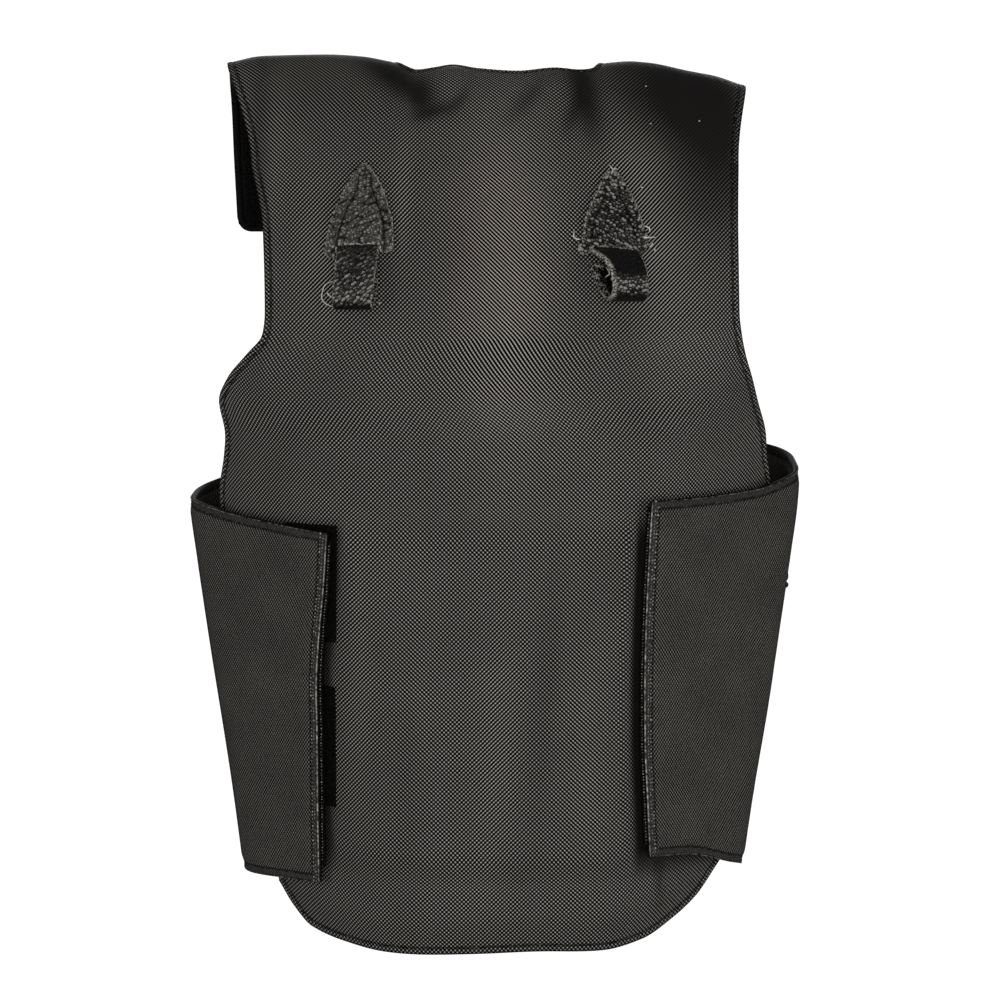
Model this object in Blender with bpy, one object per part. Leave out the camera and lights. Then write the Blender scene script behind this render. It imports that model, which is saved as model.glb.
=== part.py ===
"""Bull riding vest in its worn form: padded shells, side wings and leather tabs.

Metres, +Z up. The wearer's back faces -Y, their front faces +Y and their right is +X. The origin is
where the shoulders carry the vest: midway between the straps, level with their undersides. Sizes below
are in millimetres, and MM turns them to metres.
"""
import math

import bmesh
import bpy
from mathutils import Vector

MM = 0.001

# Thicknesses and the small gap between touching pieces
PAD = 10.0
STRAP_PAD = 7.0
HEM_PAD = 4.0
WING = 5.0
HOOK = 2.0
LOOP = 1.5
LEATHER = 2.5
GAP = 0.4
LAP_GAP = 0.7
PAD_FADE = 22.0

# Rows and columns of the panels' grids
BACK_COLUMNS = 30
NECK_COLUMNS = (10, 21)
BODY_ROWS = 20
RISE_ROWS = 6
OVER_ROWS = 4
FLAP_ROWS = 6
FRONT_COLUMNS = 22
FRONT_NECK = (7, 15)
FRONT_ROWS = 14
STRAP_ROWS = 5
WING_COLUMNS = 28
WING_ROWS = 8
HOOK_TAPE_GRID = (3, 10)
LOOP_PATCH_GRID = (5, 5)

# Heights that divide the panels, and the shoulder's crown
SHOULDER_Z = -60.0
CROWN_Y = -8.0
CROWN_TOP = 10.0
STRAP_TOP_Z = -18.0
STRAP_DROP = 0.85
FLAP_END_Z = -104.0
FLAP_CORNER = 9.0
FLAP_WIDTH = 98.0
FRONT_NECK_Z = -100.0
FRONT_NECK_DEPTH = 38.0
FRONT_HEM_Z = -522.0
FRONT_HEM_RISE = 22.0
FRONT_STRAP_HALF = 145.0

# How far the curves over the shoulder keep their first and last directions
RISE_FOOT = 26.0
RISE_CROWN = 36.0
OVER_CROWN = 16.0
OVER_END = 12.0
OVER_SHARE = 0.3

# Heights over which the padding thins towards the straps
BACK_THINS = 40.0
FRONT_THINS = 25.0
FRONT_THIN_FROM = -130.0

# The body's section: a gentle round over the middle and folded flanks beyond a crease
ROUND_RADIUS = 900.0
CREASE_WIDTH = 11.0

# A step ahead, short enough to give the direction of a surface or a path
LOOK_AHEAD = 4.0

# Wings: how far their front ends lap over the front panel
WING_LAP = 30.0
PATH_STEPS = 14


def table(names, *rows):
    """A short table: the column names in one string, then one tuple for each row."""
    return dict(zip(names.split(), zip(*rows)))


SPINE = table(
    "z back front",
    (-560, -110, 82),
    (-500, -108, 88),
    (-420, -104, 97),
    (-330, -101, 104),
    (-250, -100, 102),
    (-160, -94, 84),
    (-100, -84, 60),
    (-60, -72, 43),
    (-18, -52, 18),
    (20, -30, -8),
)

FLANK = table(
    "z left right front slope",
    (-560, 58, 66, 84, 0.62),
    (-470, 62, 72, 86, 0.62),
    (-390, 74, 80, 88, 0.62),
    (-300, 90, 88, 92, 0.62),
    (-245, 104, 98, 104, 0.60),
    (-200, 128, 124, 126, 0.50),
    (-170, 148, 148, 150, 0.35),
    (-120, 160, 160, 165, 0.10),
)

BACK_EDGES = table(
    "z left right",
    (-560, -132, 135),
    (-500, -139, 143),
    (-380, -160, 163),
    (-265, -174, 175),
    (-240, -170, 171),
    (-226, -168.5, 169.5),
    (-205, -171.5, 163),
    (-190, -165, 158.5),
    (-175, -152, 153.5),
    (-163, -142, 151),
    (-150, -140.5, 149.5),
    (-100, -142, 149),
    (-60, -150, 150),
    (-30, -159, 153),
    (10, -169, 158),
)

HEM = table(
    "share z",
    (0.0, -512),
    (0.03, -526),
    (0.07, -537),
    (0.14, -542),
    (0.24, -544.5),
    (0.45, -543),
    (0.60, -541.5),
    (0.74, -542.5),
    (0.83, -539),
    (0.90, -529),
    (0.95, -518),
    (1.0, -497),
)

CROWN = table(
    "x z",
    (-169, 8.5),
    (-150, 10),
    (-105, 11),
    (-73, 9),
    (-50, 8),
    (62, 8),
    (96, 6),
    (121, 1),
    (148, -4),
    (158, -6),
)

FLAPS = table(
    "share left_outer left_inner right_inner right_outer",
    (0.0, -169, -60, 60, 158),
    (0.3, -167, -63, 63, 156),
    (0.7, -168, -70, 72, 153),
    (1.0, -168, -76, 78, 148),
)

NECK_EDGE = table(
    "x share",
    (-60, 1.0),
    (-50, 0.80),
    (-38, 0.84),
    (-27, 0.90),
    (-12, 0.82),
    (14, 0.775),
    (38, 0.83),
    (49, 0.80),
    (60, 1.0),
)

NECK_DENTS = table(
    "x z wide high deep",
    (-76, 2, 20, 9, 3),
    (-52, -14, 13, 20, 6),
    (56, -22, 11, 26, 6),
    (96, -6, 26, 12, 4),
)

FRONT_EDGES = table(
    "z half",
    (-540, 122),
    (-500, 132),
    (-400, 146),
    (-300, 154),
    (-240, 150),
    (-200, 136),
    (-160, 126),
    (-110, 128),
    (-60, 138),
    (-10, 148),
)

WING_ENDS = table(
    "z left right",
    (-510, -103, 95),
    (-485, -103.5, 94.5),
    (-450, -104.5, 94),
    (-410, -105.5, 94),
    (-380, -106.5, 94.5),
    (-350, -105, 95.5),
    (-316, -102, 97),
    (-280, -100.5, 99.5),
    (-260, -100, 101),
)

WING_SIDES = table(
    "z left right y",
    (-510, 163, 155, -14),
    (-450, 171, 164, -10),
    (-406, 177.5, 172, -6),
    (-364, 184, 179, -3),
    (-305, 192, 188.5, 0),
    (-272, 196, 193.5, 2),
    (-240, 197, 195, 4),
)

WING_HEIGHTS = table(
    "share left_low left_high right_low right_high",
    (0.0, -504, -283, -486, -265),
    (0.12, -505, -280, -488, -264.5),
    (0.30, -507, -275, -498, -260),
    (0.42, -508, -270, -504, -253),
    (0.60, -507, -267, -504, -245),
    (0.80, -503, -258, -503, -239),
    (1.0, -500, -238, -500, -238),
)

ARROWHEAD = table(
    "share half",
    (0.0, 20.5),
    (0.35, 17.0),
    (0.65, 11.5),
    (0.88, 6.0),
    (1.0, 3.0),
)

HOOK_TAPES = table(
    "name side proud low high",
    ("left", -1, 1.5, -494, -288),
    ("right", 1, 3.2, -482, -269),
)

LOOP_PATCHES = table(
    "name first last low high",
    ("left_upper", -94.5, -126, -352, -279),
    ("left_lower", -92.6, -129, -456, -380),
    ("right_upper", 101, 134, -352, -277),
    ("right_lower", 101, 134, -456, -380),
)

# A leather loop, from under the arrowhead out, down and back up the panel
LOOP_REST = 1.9
LOOP_REACH = 17.0
LOOP_PATH = table(
    "along away z",
    (0.0, LOOP_REST, -117.5),
    (0.12, 6.0, -121.0),
    (0.30, 13.5, -127.5),
    (0.42, LOOP_REACH, -135.5),
    (0.54, 14.5, -143.5),
    (0.66, 8.0, -147.0),
    (0.76, 2.6, -143.5),
    (0.88, LOOP_REST, -135.0),
    (1.0, LOOP_REST, -124.5),
)


def smooth(columns, key, column, at):
    """One column of a table read along another, as a curve that never overshoots its rows."""
    xs = columns[key]
    ys = columns[column]
    if at <= xs[0]:
        return ys[0]
    if at >= xs[-1]:
        return ys[-1]
    i = 0
    while xs[i + 1] < at:
        i += 1
    slopes = [(ys[k + 1] - ys[k]) / (xs[k + 1] - xs[k]) for k in range(len(xs) - 1)]

    def tangent(k):
        if k == 0 or k == len(xs) - 1:
            return slopes[min(k, len(slopes) - 1)]
        before = slopes[k - 1]
        after = slopes[k]
        if before * after <= 0:
            return 0.0
        return 2 * before * after / (before + after)

    step = xs[i + 1] - xs[i]
    t = (at - xs[i]) / step
    start = ys[i] * (1 + 2 * t) * (1 - t) ** 2 + step * tangent(i) * t * (1 - t) ** 2
    end = ys[i + 1] * t * t * (3 - 2 * t) + step * tangent(i + 1) * t * t * (t - 1)
    return start + end


def mix(a, b, t):
    return a + (b - a) * t


def fold(x, crease, slope):
    """How far a flank has folded away at x: nothing inside the crease, a straight slope beyond it."""
    t = (abs(x) - crease) / CREASE_WIDTH
    ramp = t if t > 30 else math.log1p(math.exp(t))
    return slope * CREASE_WIDTH * ramp


def back_y(x, z):
    """The middle of the back panel's padding."""
    side = "left" if x < 0 else "right"
    crease = smooth(FLANK, "z", side, z)
    slope = smooth(FLANK, "z", "slope", z)
    return smooth(SPINE, "z", "back", z) + x * x / (2 * ROUND_RADIUS) + fold(x, crease, slope)


def front_y(x, z):
    """The middle of the front panel's padding. Its straps follow the slope of the shoulders."""
    crease = smooth(FLANK, "z", "front", z)
    slope = smooth(FLANK, "z", "slope", z)
    drop = max(0.0, 1 - z / FRONT_NECK_Z) * (CROWN_TOP - smooth(CROWN, "x", "z", x))
    return smooth(SPINE, "z", "front", z + drop) - x * x / (2 * ROUND_RADIUS) - fold(x, crease, slope)


def outwards(surface, x, z, away, facing):
    """A point at a distance from a surface y(x, z), along its normal on the facing side."""
    step = 0.5
    dx = (surface(x + step, z) - surface(x - step, z)) / (2 * step)
    dz = (surface(x, z + step) - surface(x, z - step)) / (2 * step)
    normal = Vector((-dx, 1.0, -dz)).normalized() * facing
    return Vector((x, surface(x, z), z)) + normal * away


def on_back(x, z, away):
    return outwards(back_y, x, z, away, -1)


def on_front(x, z, away):
    return outwards(front_y, x, z, away, 1)


def bezier(a, b, c, d, t):
    s = 1 - t
    return a * s ** 3 + b * 3 * s * s * t + c * 3 * s * t * t + d * t ** 3


def material(name, color, roughness):
    """A Principled material whose colour is given as linear red, green and blue."""
    made = bpy.data.materials.get(name)
    if made is None:
        made = bpy.data.materials.new(name)
        made.use_nodes = True
        shader = made.node_tree.nodes["Principled BSDF"]
        shader.inputs["Base Color"].default_value = (*color, 1.0)
        shader.inputs["Roughness"].default_value = roughness
        shader.inputs["Metallic"].default_value = 0.0
    return made


NYLON = ("ballistic_nylon", (0.045, 0.043, 0.040), 0.55)
WING_CLOTH = ("wing_cloth", (0.034, 0.031, 0.028), 0.75)
HOOK_TAPE = ("hook_tape", (0.012, 0.012, 0.012), 0.6)
LOOP_TAPE = ("loop_tape", (0.008, 0.008, 0.008), 0.95)
PEBBLED = ("pebbled_leather", (0.040, 0.039, 0.037), 0.45)


def shell(name, columns, rows, point, thickness, finish, keep=None, pad=None):
    """A closed sheet of cloth or padding.

    A grid of columns and rows is laid on point(column, row), in millimetres, cells that keep() turns
    down are cut away, and Solidify gives it a thickness, half on each side. pad(point) thins it.
    """
    mesh = bpy.data.meshes.new(name)
    bm = bmesh.new()
    bmesh.ops.create_grid(bm, x_segments=columns, y_segments=rows, size=0.5)
    cells = []
    for face in bm.faces:
        middle = face.calc_center_median()
        if keep and not keep((middle.x + 0.5) * columns, (middle.y + 0.5) * rows):
            cells.append(face)
    bmesh.ops.delete(bm, geom=cells, context="FACES")
    for vertex in bm.verts:
        column = round((vertex.co.x + 0.5) * columns)
        row = round((vertex.co.y + 0.5) * rows)
        vertex.co = point(column, row) * MM
    rim = [vertex.co.copy() for vertex in bm.verts if vertex.is_boundary]
    bm.to_mesh(mesh)
    bm.free()
    mesh.materials.append(material(*finish))
    piece = bpy.data.objects.new(name, mesh)
    bpy.context.scene.collection.objects.link(piece)
    solid = piece.modifiers.new("thickness", "SOLIDIFY")
    solid.thickness = thickness * MM
    solid.offset = 0.0
    solid.use_even_offset = True
    if pad:
        group = piece.vertex_groups.new(name="pad")
        for vertex in mesh.vertices:
            inside = min((vertex.co - corner).length for corner in rim) / MM
            share = mix(HEM_PAD, pad(vertex.co / MM), min(1.0, inside / PAD_FADE)) / thickness
            group.add([vertex.index], share, "REPLACE")
        solid.vertex_group = "pad"
    mesh.shade_smooth()
    return piece


def clear_scene():
    for thing in list(bpy.data.objects):
        bpy.data.objects.remove(thing, do_unlink=True)


# The back panel and its shoulder flaps
FLAP_AWAY = STRAP_PAD / 2 + GAP + HOOK + GAP + STRAP_PAD / 2
TAPE_AWAY = STRAP_PAD / 2 + GAP + HOOK / 2


def dented(point):
    """The hollows pressed into the cloth round the neck's corners."""
    for x, z, wide, high, deep in zip(*NECK_DENTS.values()):
        far = ((point.x - x) / wide) ** 2 + ((point.z - z) / high) ** 2
        point.y += deep * math.exp(-far)
    return point


def crown_point(x):
    """The top of the shoulder's arch, in the middle of the padding."""
    return Vector((x, CROWN_Y, smooth(CROWN, "x", "z", x) - STRAP_PAD / 2))


def rise_point(x, foot_x, t):
    """Up the back from the shoulder line to the crown, t from 0 to 1."""
    foot = Vector((foot_x, back_y(foot_x, SHOULDER_Z), SHOULDER_Z))
    lean = back_y(foot_x, SHOULDER_Z + LOOK_AHEAD) - foot.y
    crown = crown_point(x)
    up = Vector((0, lean, LOOK_AHEAD)).normalized() * RISE_FOOT
    return bezier(foot, foot + up, crown - Vector((0, RISE_CROWN, 0)), crown, t)


def neck_cut(x):
    """How much of the rise the cloth reaches: all of it on the shoulders, less at the back neck."""
    return smooth(NECK_EDGE, "x", "share", x)


def flap_x(column, share):
    """Across a flap: its outer and inner edges drift as it runs down the front."""
    if column <= NECK_COLUMNS[0]:
        outer = smooth(FLAPS, "share", "left_outer", share)
        inner = smooth(FLAPS, "share", "left_inner", share)
        return mix(outer, inner, column / NECK_COLUMNS[0])
    inner = smooth(FLAPS, "share", "right_inner", share)
    outer = smooth(FLAPS, "share", "right_outer", share)
    return mix(inner, outer, (column - NECK_COLUMNS[1]) / (BACK_COLUMNS - NECK_COLUMNS[1]))


def strap_top(x):
    """The height of the front strap's end: it follows the shoulder's slope."""
    return STRAP_TOP_Z - (CROWN_TOP - smooth(CROWN, "x", "z", x)) * STRAP_DROP


def flap_end(column):
    """The flap's lower edge, with round corners."""
    first, last = 0, NECK_COLUMNS[0]
    if column > last:
        first, last = NECK_COLUMNS[1], BACK_COLUMNS
    side = min(column - first, last - column) / (last - first) * FLAP_WIDTH
    inside = max(0.0, 1 - side / FLAP_CORNER)
    return FLAP_END_Z + FLAP_CORNER * (1 - math.sqrt(1 - inside * inside))


def across_back(z, share):
    """A place between the back panel's left and right edges at one height."""
    return mix(smooth(BACK_EDGES, "z", "left", z), smooth(BACK_EDGES, "z", "right", z), share)


def back_point(column, row):
    """The middle of the padding at a column from the left edge and a row from the hem."""
    share = column / BACK_COLUMNS
    if row <= BODY_ROWS:
        low = smooth(HEM, "share", "z", share)
        z = mix(low, SHOULDER_Z, row / BODY_ROWS)
        x = across_back(z, share)
        return dented(Vector((x, back_y(x, z), z)))
    row -= BODY_ROWS
    foot_x = across_back(SHOULDER_Z, share)
    crown_x = across_back(max(BACK_EDGES["z"]), share)
    if row <= RISE_ROWS:
        return dented(rise_point(crown_x, foot_x, row / RISE_ROWS * neck_cut(crown_x)))
    row -= RISE_ROWS
    if row <= OVER_ROWS:
        t = row / OVER_ROWS
        x = flap_x(column, OVER_SHARE * t)
        start = crown_point(flap_x(column, 0.0))
        end = on_front(x, strap_top(x), FLAP_AWAY)
        after = on_front(x, strap_top(x) - LOOK_AHEAD, FLAP_AWAY)
        down = (after - end).normalized() * OVER_END
        return bezier(start, start + Vector((0, OVER_CROWN, 0)), end - down, end, t)
    t = (row - OVER_ROWS) / FLAP_ROWS
    x = flap_x(column, mix(OVER_SHARE, 1.0, t))
    return on_front(x, mix(strap_top(x), flap_end(column), t), FLAP_AWAY)


def back_keep(column, row):
    """All of the back, and above the crown the two flaps only."""
    on_flap = column < NECK_COLUMNS[0] or column > NECK_COLUMNS[1]
    return row < BODY_ROWS + RISE_ROWS or on_flap


def back_pad(point):
    """Full padding on the body, thinner over the shoulders."""
    t = min(1.0, max(0.0, (point.z - SHOULDER_Z) / BACK_THINS))
    return STRAP_PAD if point.y > CROWN_Y else mix(PAD, STRAP_PAD, t)


def make_back():
    rows = BODY_ROWS + RISE_ROWS + OVER_ROWS + FLAP_ROWS
    shell("back_panel", BACK_COLUMNS, rows, back_point, PAD, NYLON, back_keep, back_pad)


# The front panel, plain, with a scooped neck and two straps
def front_point(column, row):
    """The middle of the front's padding, from its round hem to its straps' ends."""
    share = 2 * column / FRONT_COLUMNS - 1
    hem = FRONT_HEM_Z + FRONT_HEM_RISE * abs(share) ** 5
    if row <= FRONT_ROWS:
        inside = min(1.0, abs(column - FRONT_COLUMNS / 2) / (FRONT_NECK[1] - FRONT_COLUMNS / 2))
        top = FRONT_NECK_Z - FRONT_NECK_DEPTH * math.sqrt(1 - inside * inside)
        z = mix(hem, top, row / FRONT_ROWS)
    else:
        side = 1 if share > 0 else -1
        high = strap_top(side * abs(share) * FRONT_STRAP_HALF)
        z = mix(FRONT_NECK_Z, high, (row - FRONT_ROWS) / STRAP_ROWS)
    x = share * smooth(FRONT_EDGES, "z", "half", z)
    return Vector((x, front_y(x, z), z))


def front_keep(column, row):
    return row < FRONT_ROWS or not FRONT_NECK[0] < column < FRONT_NECK[1]


def front_pad(point):
    """Full padding on the chest, thinner up the straps."""
    t = min(1.0, max(0.0, (point.z - FRONT_THIN_FROM) / FRONT_THINS))
    return mix(PAD, STRAP_PAD, t)


def make_front():
    rows = FRONT_ROWS + STRAP_ROWS
    shell("front_panel", FRONT_COLUMNS, rows, front_point, PAD, NYLON, front_keep, front_pad)


# The wings, and the tapes that close them on the back
PATCH_AWAY = PAD / 2 + GAP + LOOP / 2
HOOK_AWAY = PAD / 2 + GAP + LOOP + GAP + HOOK / 2
WING_AWAY = PAD / 2 + GAP + LOOP + GAP + HOOK + GAP + WING / 2
LAP_AWAY = PAD / 2 + LAP_GAP + WING / 2
TAPE_WIDTH = 24.0
SHOULDER_HOOK_SHARES = (0.36, 0.97)
SHOULDER_HOOK_INSET = 5.0

# A wing leaves the back this far inside the panel's edge, and its curves keep their directions this long
BACK_INSET = 6.0
LAP_INSET = 4.0
LAP_FROM_Z = -240.0
BACK_REACH = 0.45
FRONT_REACH = 0.42
LAP_STEPS = 4


def level(point, z):
    return Vector((point.x, point.y, z))


def wing_path(side, z):
    """The wing's middle line round the body at one height, from its end on the back to its front."""
    name = "left" if side < 0 else "right"
    end_x = smooth(WING_ENDS, "z", name, z)
    edge_x = smooth(BACK_EDGES, "z", name, z) - side * BACK_INSET
    lap_x = side * (smooth(FRONT_EDGES, "z", "half", min(z, LAP_FROM_Z)) - LAP_INSET)
    side_x = side * (smooth(WING_SIDES, "z", name, z) - WING / 2)
    side_y = smooth(WING_SIDES, "z", "y", z)
    path = []
    for i in range(PATH_STEPS):
        path.append(level(on_back(mix(end_x, edge_x, i / (PATH_STEPS - 1)), z, WING_AWAY), z))
    leave = (path[-1] - path[-2]).normalized()
    middle = Vector((side_x, side_y, z))
    arrive = level(on_front(lap_x, z, LAP_AWAY), z)
    further = level(on_front(lap_x - side * LOOK_AHEAD, z, LAP_AWAY), z)
    inwards = (further - arrive).normalized()
    start = path[-1]
    reach = (middle - start).length * BACK_REACH
    for i in range(1, PATH_STEPS):
        t = i / (PATH_STEPS - 1)
        path.append(bezier(start, start + leave * reach, middle - Vector((0, reach, 0)), middle, t))
    reach = (arrive - middle).length * FRONT_REACH
    for i in range(1, PATH_STEPS):
        t = i / (PATH_STEPS - 1)
        path.append(bezier(middle, middle + Vector((0, reach, 0)), arrive - inwards * reach, arrive, t))
    for i in range(1, LAP_STEPS + 1):
        x = lap_x - side * WING_LAP * i / LAP_STEPS
        path.append(level(on_front(x, z, LAP_AWAY), z))
    return path


def along(path, share):
    """The point at a share of a path's length."""
    lengths = [(b - a).length for a, b in zip(path, path[1:])]
    left = share * sum(lengths)
    for length, a, b in zip(lengths, path, path[1:]):
        if left <= length:
            return a.lerp(b, left / length)
        left -= length
    return path[-1]


def make_wing(side):
    name = "left" if side < 0 else "right"

    def point(column, row):
        share = column / WING_COLUMNS
        low = smooth(WING_HEIGHTS, "share", name + "_low", share)
        high = smooth(WING_HEIGHTS, "share", name + "_high", share)
        return along(wing_path(side, mix(low, high, row / WING_ROWS)), share)

    shell("wing_" + name, WING_COLUMNS, WING_ROWS, point, WING, WING_CLOTH)


def strip(name, grid, low, high, span, away, thickness, finish):
    """A flat strip that follows the back: span(z) gives its two edges."""
    columns, rows = grid

    def point(column, row):
        z = mix(low, high, row / rows)
        first, last = span(z)
        return level(on_back(mix(first, last, column / columns), z, away), z)

    shell(name, columns, rows, point, thickness, finish)


def make_hook_tapes():
    """The strips under the wings' ends. Each shows a little beyond the wing."""
    for name, side, proud, low, high in zip(*HOOK_TAPES.values()):
        def span(z):
            edge = smooth(WING_ENDS, "z", name, z) - side * proud
            return edge, edge + side * TAPE_WIDTH

        strip("hook_tape_" + name, HOOK_TAPE_GRID, low, high, span, HOOK_AWAY, HOOK, HOOK_TAPE)


def make_loop_patches():
    """The fuzzy patches on the back that the hook tapes hold on to."""
    for name, first, last, low, high in zip(*LOOP_PATCHES.values()):
        def span(z):
            return first, last

        strip("loop_patch_" + name, LOOP_PATCH_GRID, low, high, span, PATCH_AWAY, LOOP, LOOP_TAPE)


def make_shoulder_hooks():
    """The closure under each flap, as wide as the flap."""
    columns = 6
    rows = 6
    for name in ("left", "right"):
        def point(column, row):
            t = row / rows
            share = mix(*SHOULDER_HOOK_SHARES, t)
            outer = smooth(FLAPS, "share", name + "_outer", share)
            inner = smooth(FLAPS, "share", name + "_inner", share)
            inwards = SHOULDER_HOOK_INSET if inner > outer else -SHOULDER_HOOK_INSET
            x = mix(outer + inwards, inner - inwards, column / columns)
            high = strap_top(x) - SHOULDER_HOOK_INSET
            return on_front(x, mix(high, FLAP_END_Z + SHOULDER_HOOK_INSET, t), TAPE_AWAY)

        shell("shoulder_hook_" + name, columns, rows, point, HOOK, HOOK_TAPE)


# The leather tabs: an arrowhead sewn to the back, with a strap loop below it
PATCH_BASE_Z = -115.5
PATCH_TIP_Z = -62.0
TABS = table(
    "side tip_x base_x loop_x wide twist",
    (-1, -79, -82, -83.3, 24.5, -4),
    (1, 72, 72, 73.5, 23.5, 29),
)


def make_leather():
    rows = 8
    columns = 6
    loop_columns = 4
    loop_rows = 20
    for side, tip_x, base_x, loop_x, wide, twist in zip(*TABS.values()):
        name = "left" if side < 0 else "right"

        def patch(column, row):
            share = row / rows
            half = smooth(ARROWHEAD, "share", "half", share)
            x = mix(base_x, tip_x, share) + half * (2 * column / columns - 1)
            return on_back(x, mix(PATCH_BASE_Z, PATCH_TIP_Z, share), PAD / 2 + GAP + LEATHER / 2)

        def loop(column, row):
            at = row / loop_rows
            away = smooth(LOOP_PATH, "along", "away", at)
            z = smooth(LOOP_PATH, "along", "z", at)
            turn = math.radians(twist) * (away - LOOP_REST) / (LOOP_REACH - LOOP_REST)
            across = (column / loop_columns - 0.5) * wide
            x = loop_x + across * math.cos(turn) + away * math.sin(turn)
            return on_back(x, z, PAD / 2 + away * math.cos(turn) - across * math.sin(turn))

        shell("leather_patch_" + name, columns, rows, patch, LEATHER, PEBBLED)
        shell("leather_loop_" + name, loop_columns, loop_rows, loop, LEATHER, PEBBLED)


def main():
    clear_scene()
    make_back()
    make_front()
    make_wing(-1)
    make_wing(1)
    make_hook_tapes()
    make_loop_patches()
    make_shoulder_hooks()
    make_leather()


main()
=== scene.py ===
# %% [markdown]
# A bull riding vest seen from the back, in the form that it has when it is worn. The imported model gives
# its sixteen parts at their real size. Here each of them is made again as cloth, tape or leather, on the
# same surfaces, with the hems, stitches, folds and weaves that the plain solids leave out.

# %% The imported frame
import math
import random

import bmesh
import bpy
import numpy as np
from mathutils import Matrix, Vector
from mathutils.kdtree import KDTree


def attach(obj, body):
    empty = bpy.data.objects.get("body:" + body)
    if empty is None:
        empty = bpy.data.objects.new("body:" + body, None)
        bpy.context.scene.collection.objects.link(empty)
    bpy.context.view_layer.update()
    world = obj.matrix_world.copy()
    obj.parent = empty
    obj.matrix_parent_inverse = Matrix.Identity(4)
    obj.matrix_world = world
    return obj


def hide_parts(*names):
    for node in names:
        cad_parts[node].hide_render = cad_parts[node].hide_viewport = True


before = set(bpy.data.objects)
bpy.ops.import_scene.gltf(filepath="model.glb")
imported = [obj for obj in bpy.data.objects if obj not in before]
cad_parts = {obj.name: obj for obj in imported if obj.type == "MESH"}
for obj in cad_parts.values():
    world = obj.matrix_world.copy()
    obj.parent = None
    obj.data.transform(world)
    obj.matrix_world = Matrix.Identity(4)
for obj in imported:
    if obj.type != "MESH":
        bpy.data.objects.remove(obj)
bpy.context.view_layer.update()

print("nodes:", ", ".join(sorted(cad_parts)))

# %% [markdown]
# Garment patterns are drawn with a few measured points and a smooth line through them. So each outline
# here is a short table, and one function reads a column of it as a curve. The curve keeps to the rows
# without swinging past them, as a tailor's curve would, so a straight stretch stays straight.

# %% Tables and smooth curves
MM = 0.001


def table(names, *rows):
    """A short table: the column names in one string, then one tuple for each row."""
    return dict(zip(names.split(), zip(*rows)))


def smooth(columns, column, at):
    """One column of a table read along its first one, as a curve that never overshoots its rows."""
    xs = np.array(next(iter(columns.values())), float)
    ys = np.array(columns[column], float)
    slopes = np.diff(ys) / np.diff(xs)
    before = slopes[:-1]
    after = slopes[1:]
    same_way = before * after > 0
    inner = np.where(same_way, 2 * before * after / np.where(same_way, before + after, 1.0), 0.0)
    tangents = np.concatenate(([slopes[0]], inner, [slopes[-1]]))
    at = np.clip(at, xs[0], xs[-1])
    i = np.clip(np.searchsorted(xs, at, side="right") - 1, 0, len(xs) - 2)
    step = xs[i + 1] - xs[i]
    t = (at - xs[i]) / step
    start = ys[i] * (1 + 2 * t) * (1 - t) ** 2 + step * tangents[i] * t * (1 - t) ** 2
    end = ys[i + 1] * t * t * (3 - 2 * t) + step * tangents[i + 1] * t * t * (t - 1)
    return start + end


def mix(a, b, t):
    return a + (b - a) * t


def ease(t):
    """0 up to t = 0, 1 from t = 1, and a soft step between."""
    t = np.clip(t, 0.0, 1.0)
    return t * t * (3 - 2 * t)


def spaced(first, last, steps, crowd=0.0):
    """Evenly spaced values, or closer together towards both ends with a crowd of up to 0.9."""
    t = np.linspace(0.0, 1.0, steps + 1)
    return mix(first, last, t - crowd * np.sin(2 * math.pi * t) / (2 * math.pi))


def joined(*stretches):
    """Stretches of values in a row, each starting where the one before it ends."""
    return np.concatenate([stretches[0]] + [stretch[1:] for stretch in stretches[1:]])


def place(x, y, z):
    """Points from three arrays, each as large as the largest of them."""
    return np.stack(np.broadcast_arrays(x, y, z), axis=-1).astype(float)


def unit(vectors):
    return vectors / np.linalg.norm(vectors, axis=-1, keepdims=True)


def bezier(a, b, c, d, t):
    s = 1 - t
    return a * s ** 3 + b * 3 * s * s * t + c * 3 * s * t * t + d * t ** 3


def run_along(line):
    """The length of a line of points up to each of them."""
    return np.concatenate(([0.0], np.cumsum(np.linalg.norm(np.diff(line, axis=0), axis=1))))


def along_line(line, at):
    """Places at given lengths along a line of points."""
    run = run_along(line)
    return np.stack([np.interp(at, run, line[:, axis]) for axis in range(3)], axis=-1)


print("curves are read from tables in millimetres")

# %% [markdown]
# The vest keeps the form of a body although nobody is in it, because its padding is stiff. Two surfaces
# hold that form: the middle of the back's padding and the middle of the front's. Each is a spine from
# hem to shoulder, a gentle round, and flanks that fold away beyond a crease. Everything on the vest is
# then placed at a distance from one of them, so that nothing floats and nothing sinks in.

# %% The body's form
ROUND_RADIUS = 900.0
CREASE_WIDTH = 11.0
LOOK_AHEAD = 4.0
CROWN_TOP = 10.0
FRONT_NECK_Z = -100.0

BLOT = ("x", "z", "wide", "high", "turn")

SPINE = table(
    "z back front",
    (-560, -110, 82),
    (-500, -108, 88),
    (-420, -104, 97),
    (-330, -101, 104),
    (-250, -100, 102),
    (-160, -94, 84),
    (-100, -84, 60),
    (-60, -72, 43),
    (-18, -52, 18),
    (20, -30, -8),
)

FLANK = table(
    "z left right front slope",
    (-560, 58, 66, 84, 0.62),
    (-470, 62, 72, 86, 0.62),
    (-390, 74, 80, 88, 0.62),
    (-300, 90, 88, 92, 0.62),
    (-245, 104, 98, 104, 0.60),
    (-200, 128, 124, 126, 0.50),
    (-170, 148, 148, 150, 0.35),
    (-120, 160, 160, 165, 0.10),
)

CROWN = table(
    "x z",
    (-169, 8.5),
    (-150, 10),
    (-105, 11),
    (-73, 9),
    (-50, 8),
    (62, 8),
    (96, 6),
    (121, 1),
    (148, -4),
    (158, -6),
)


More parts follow.
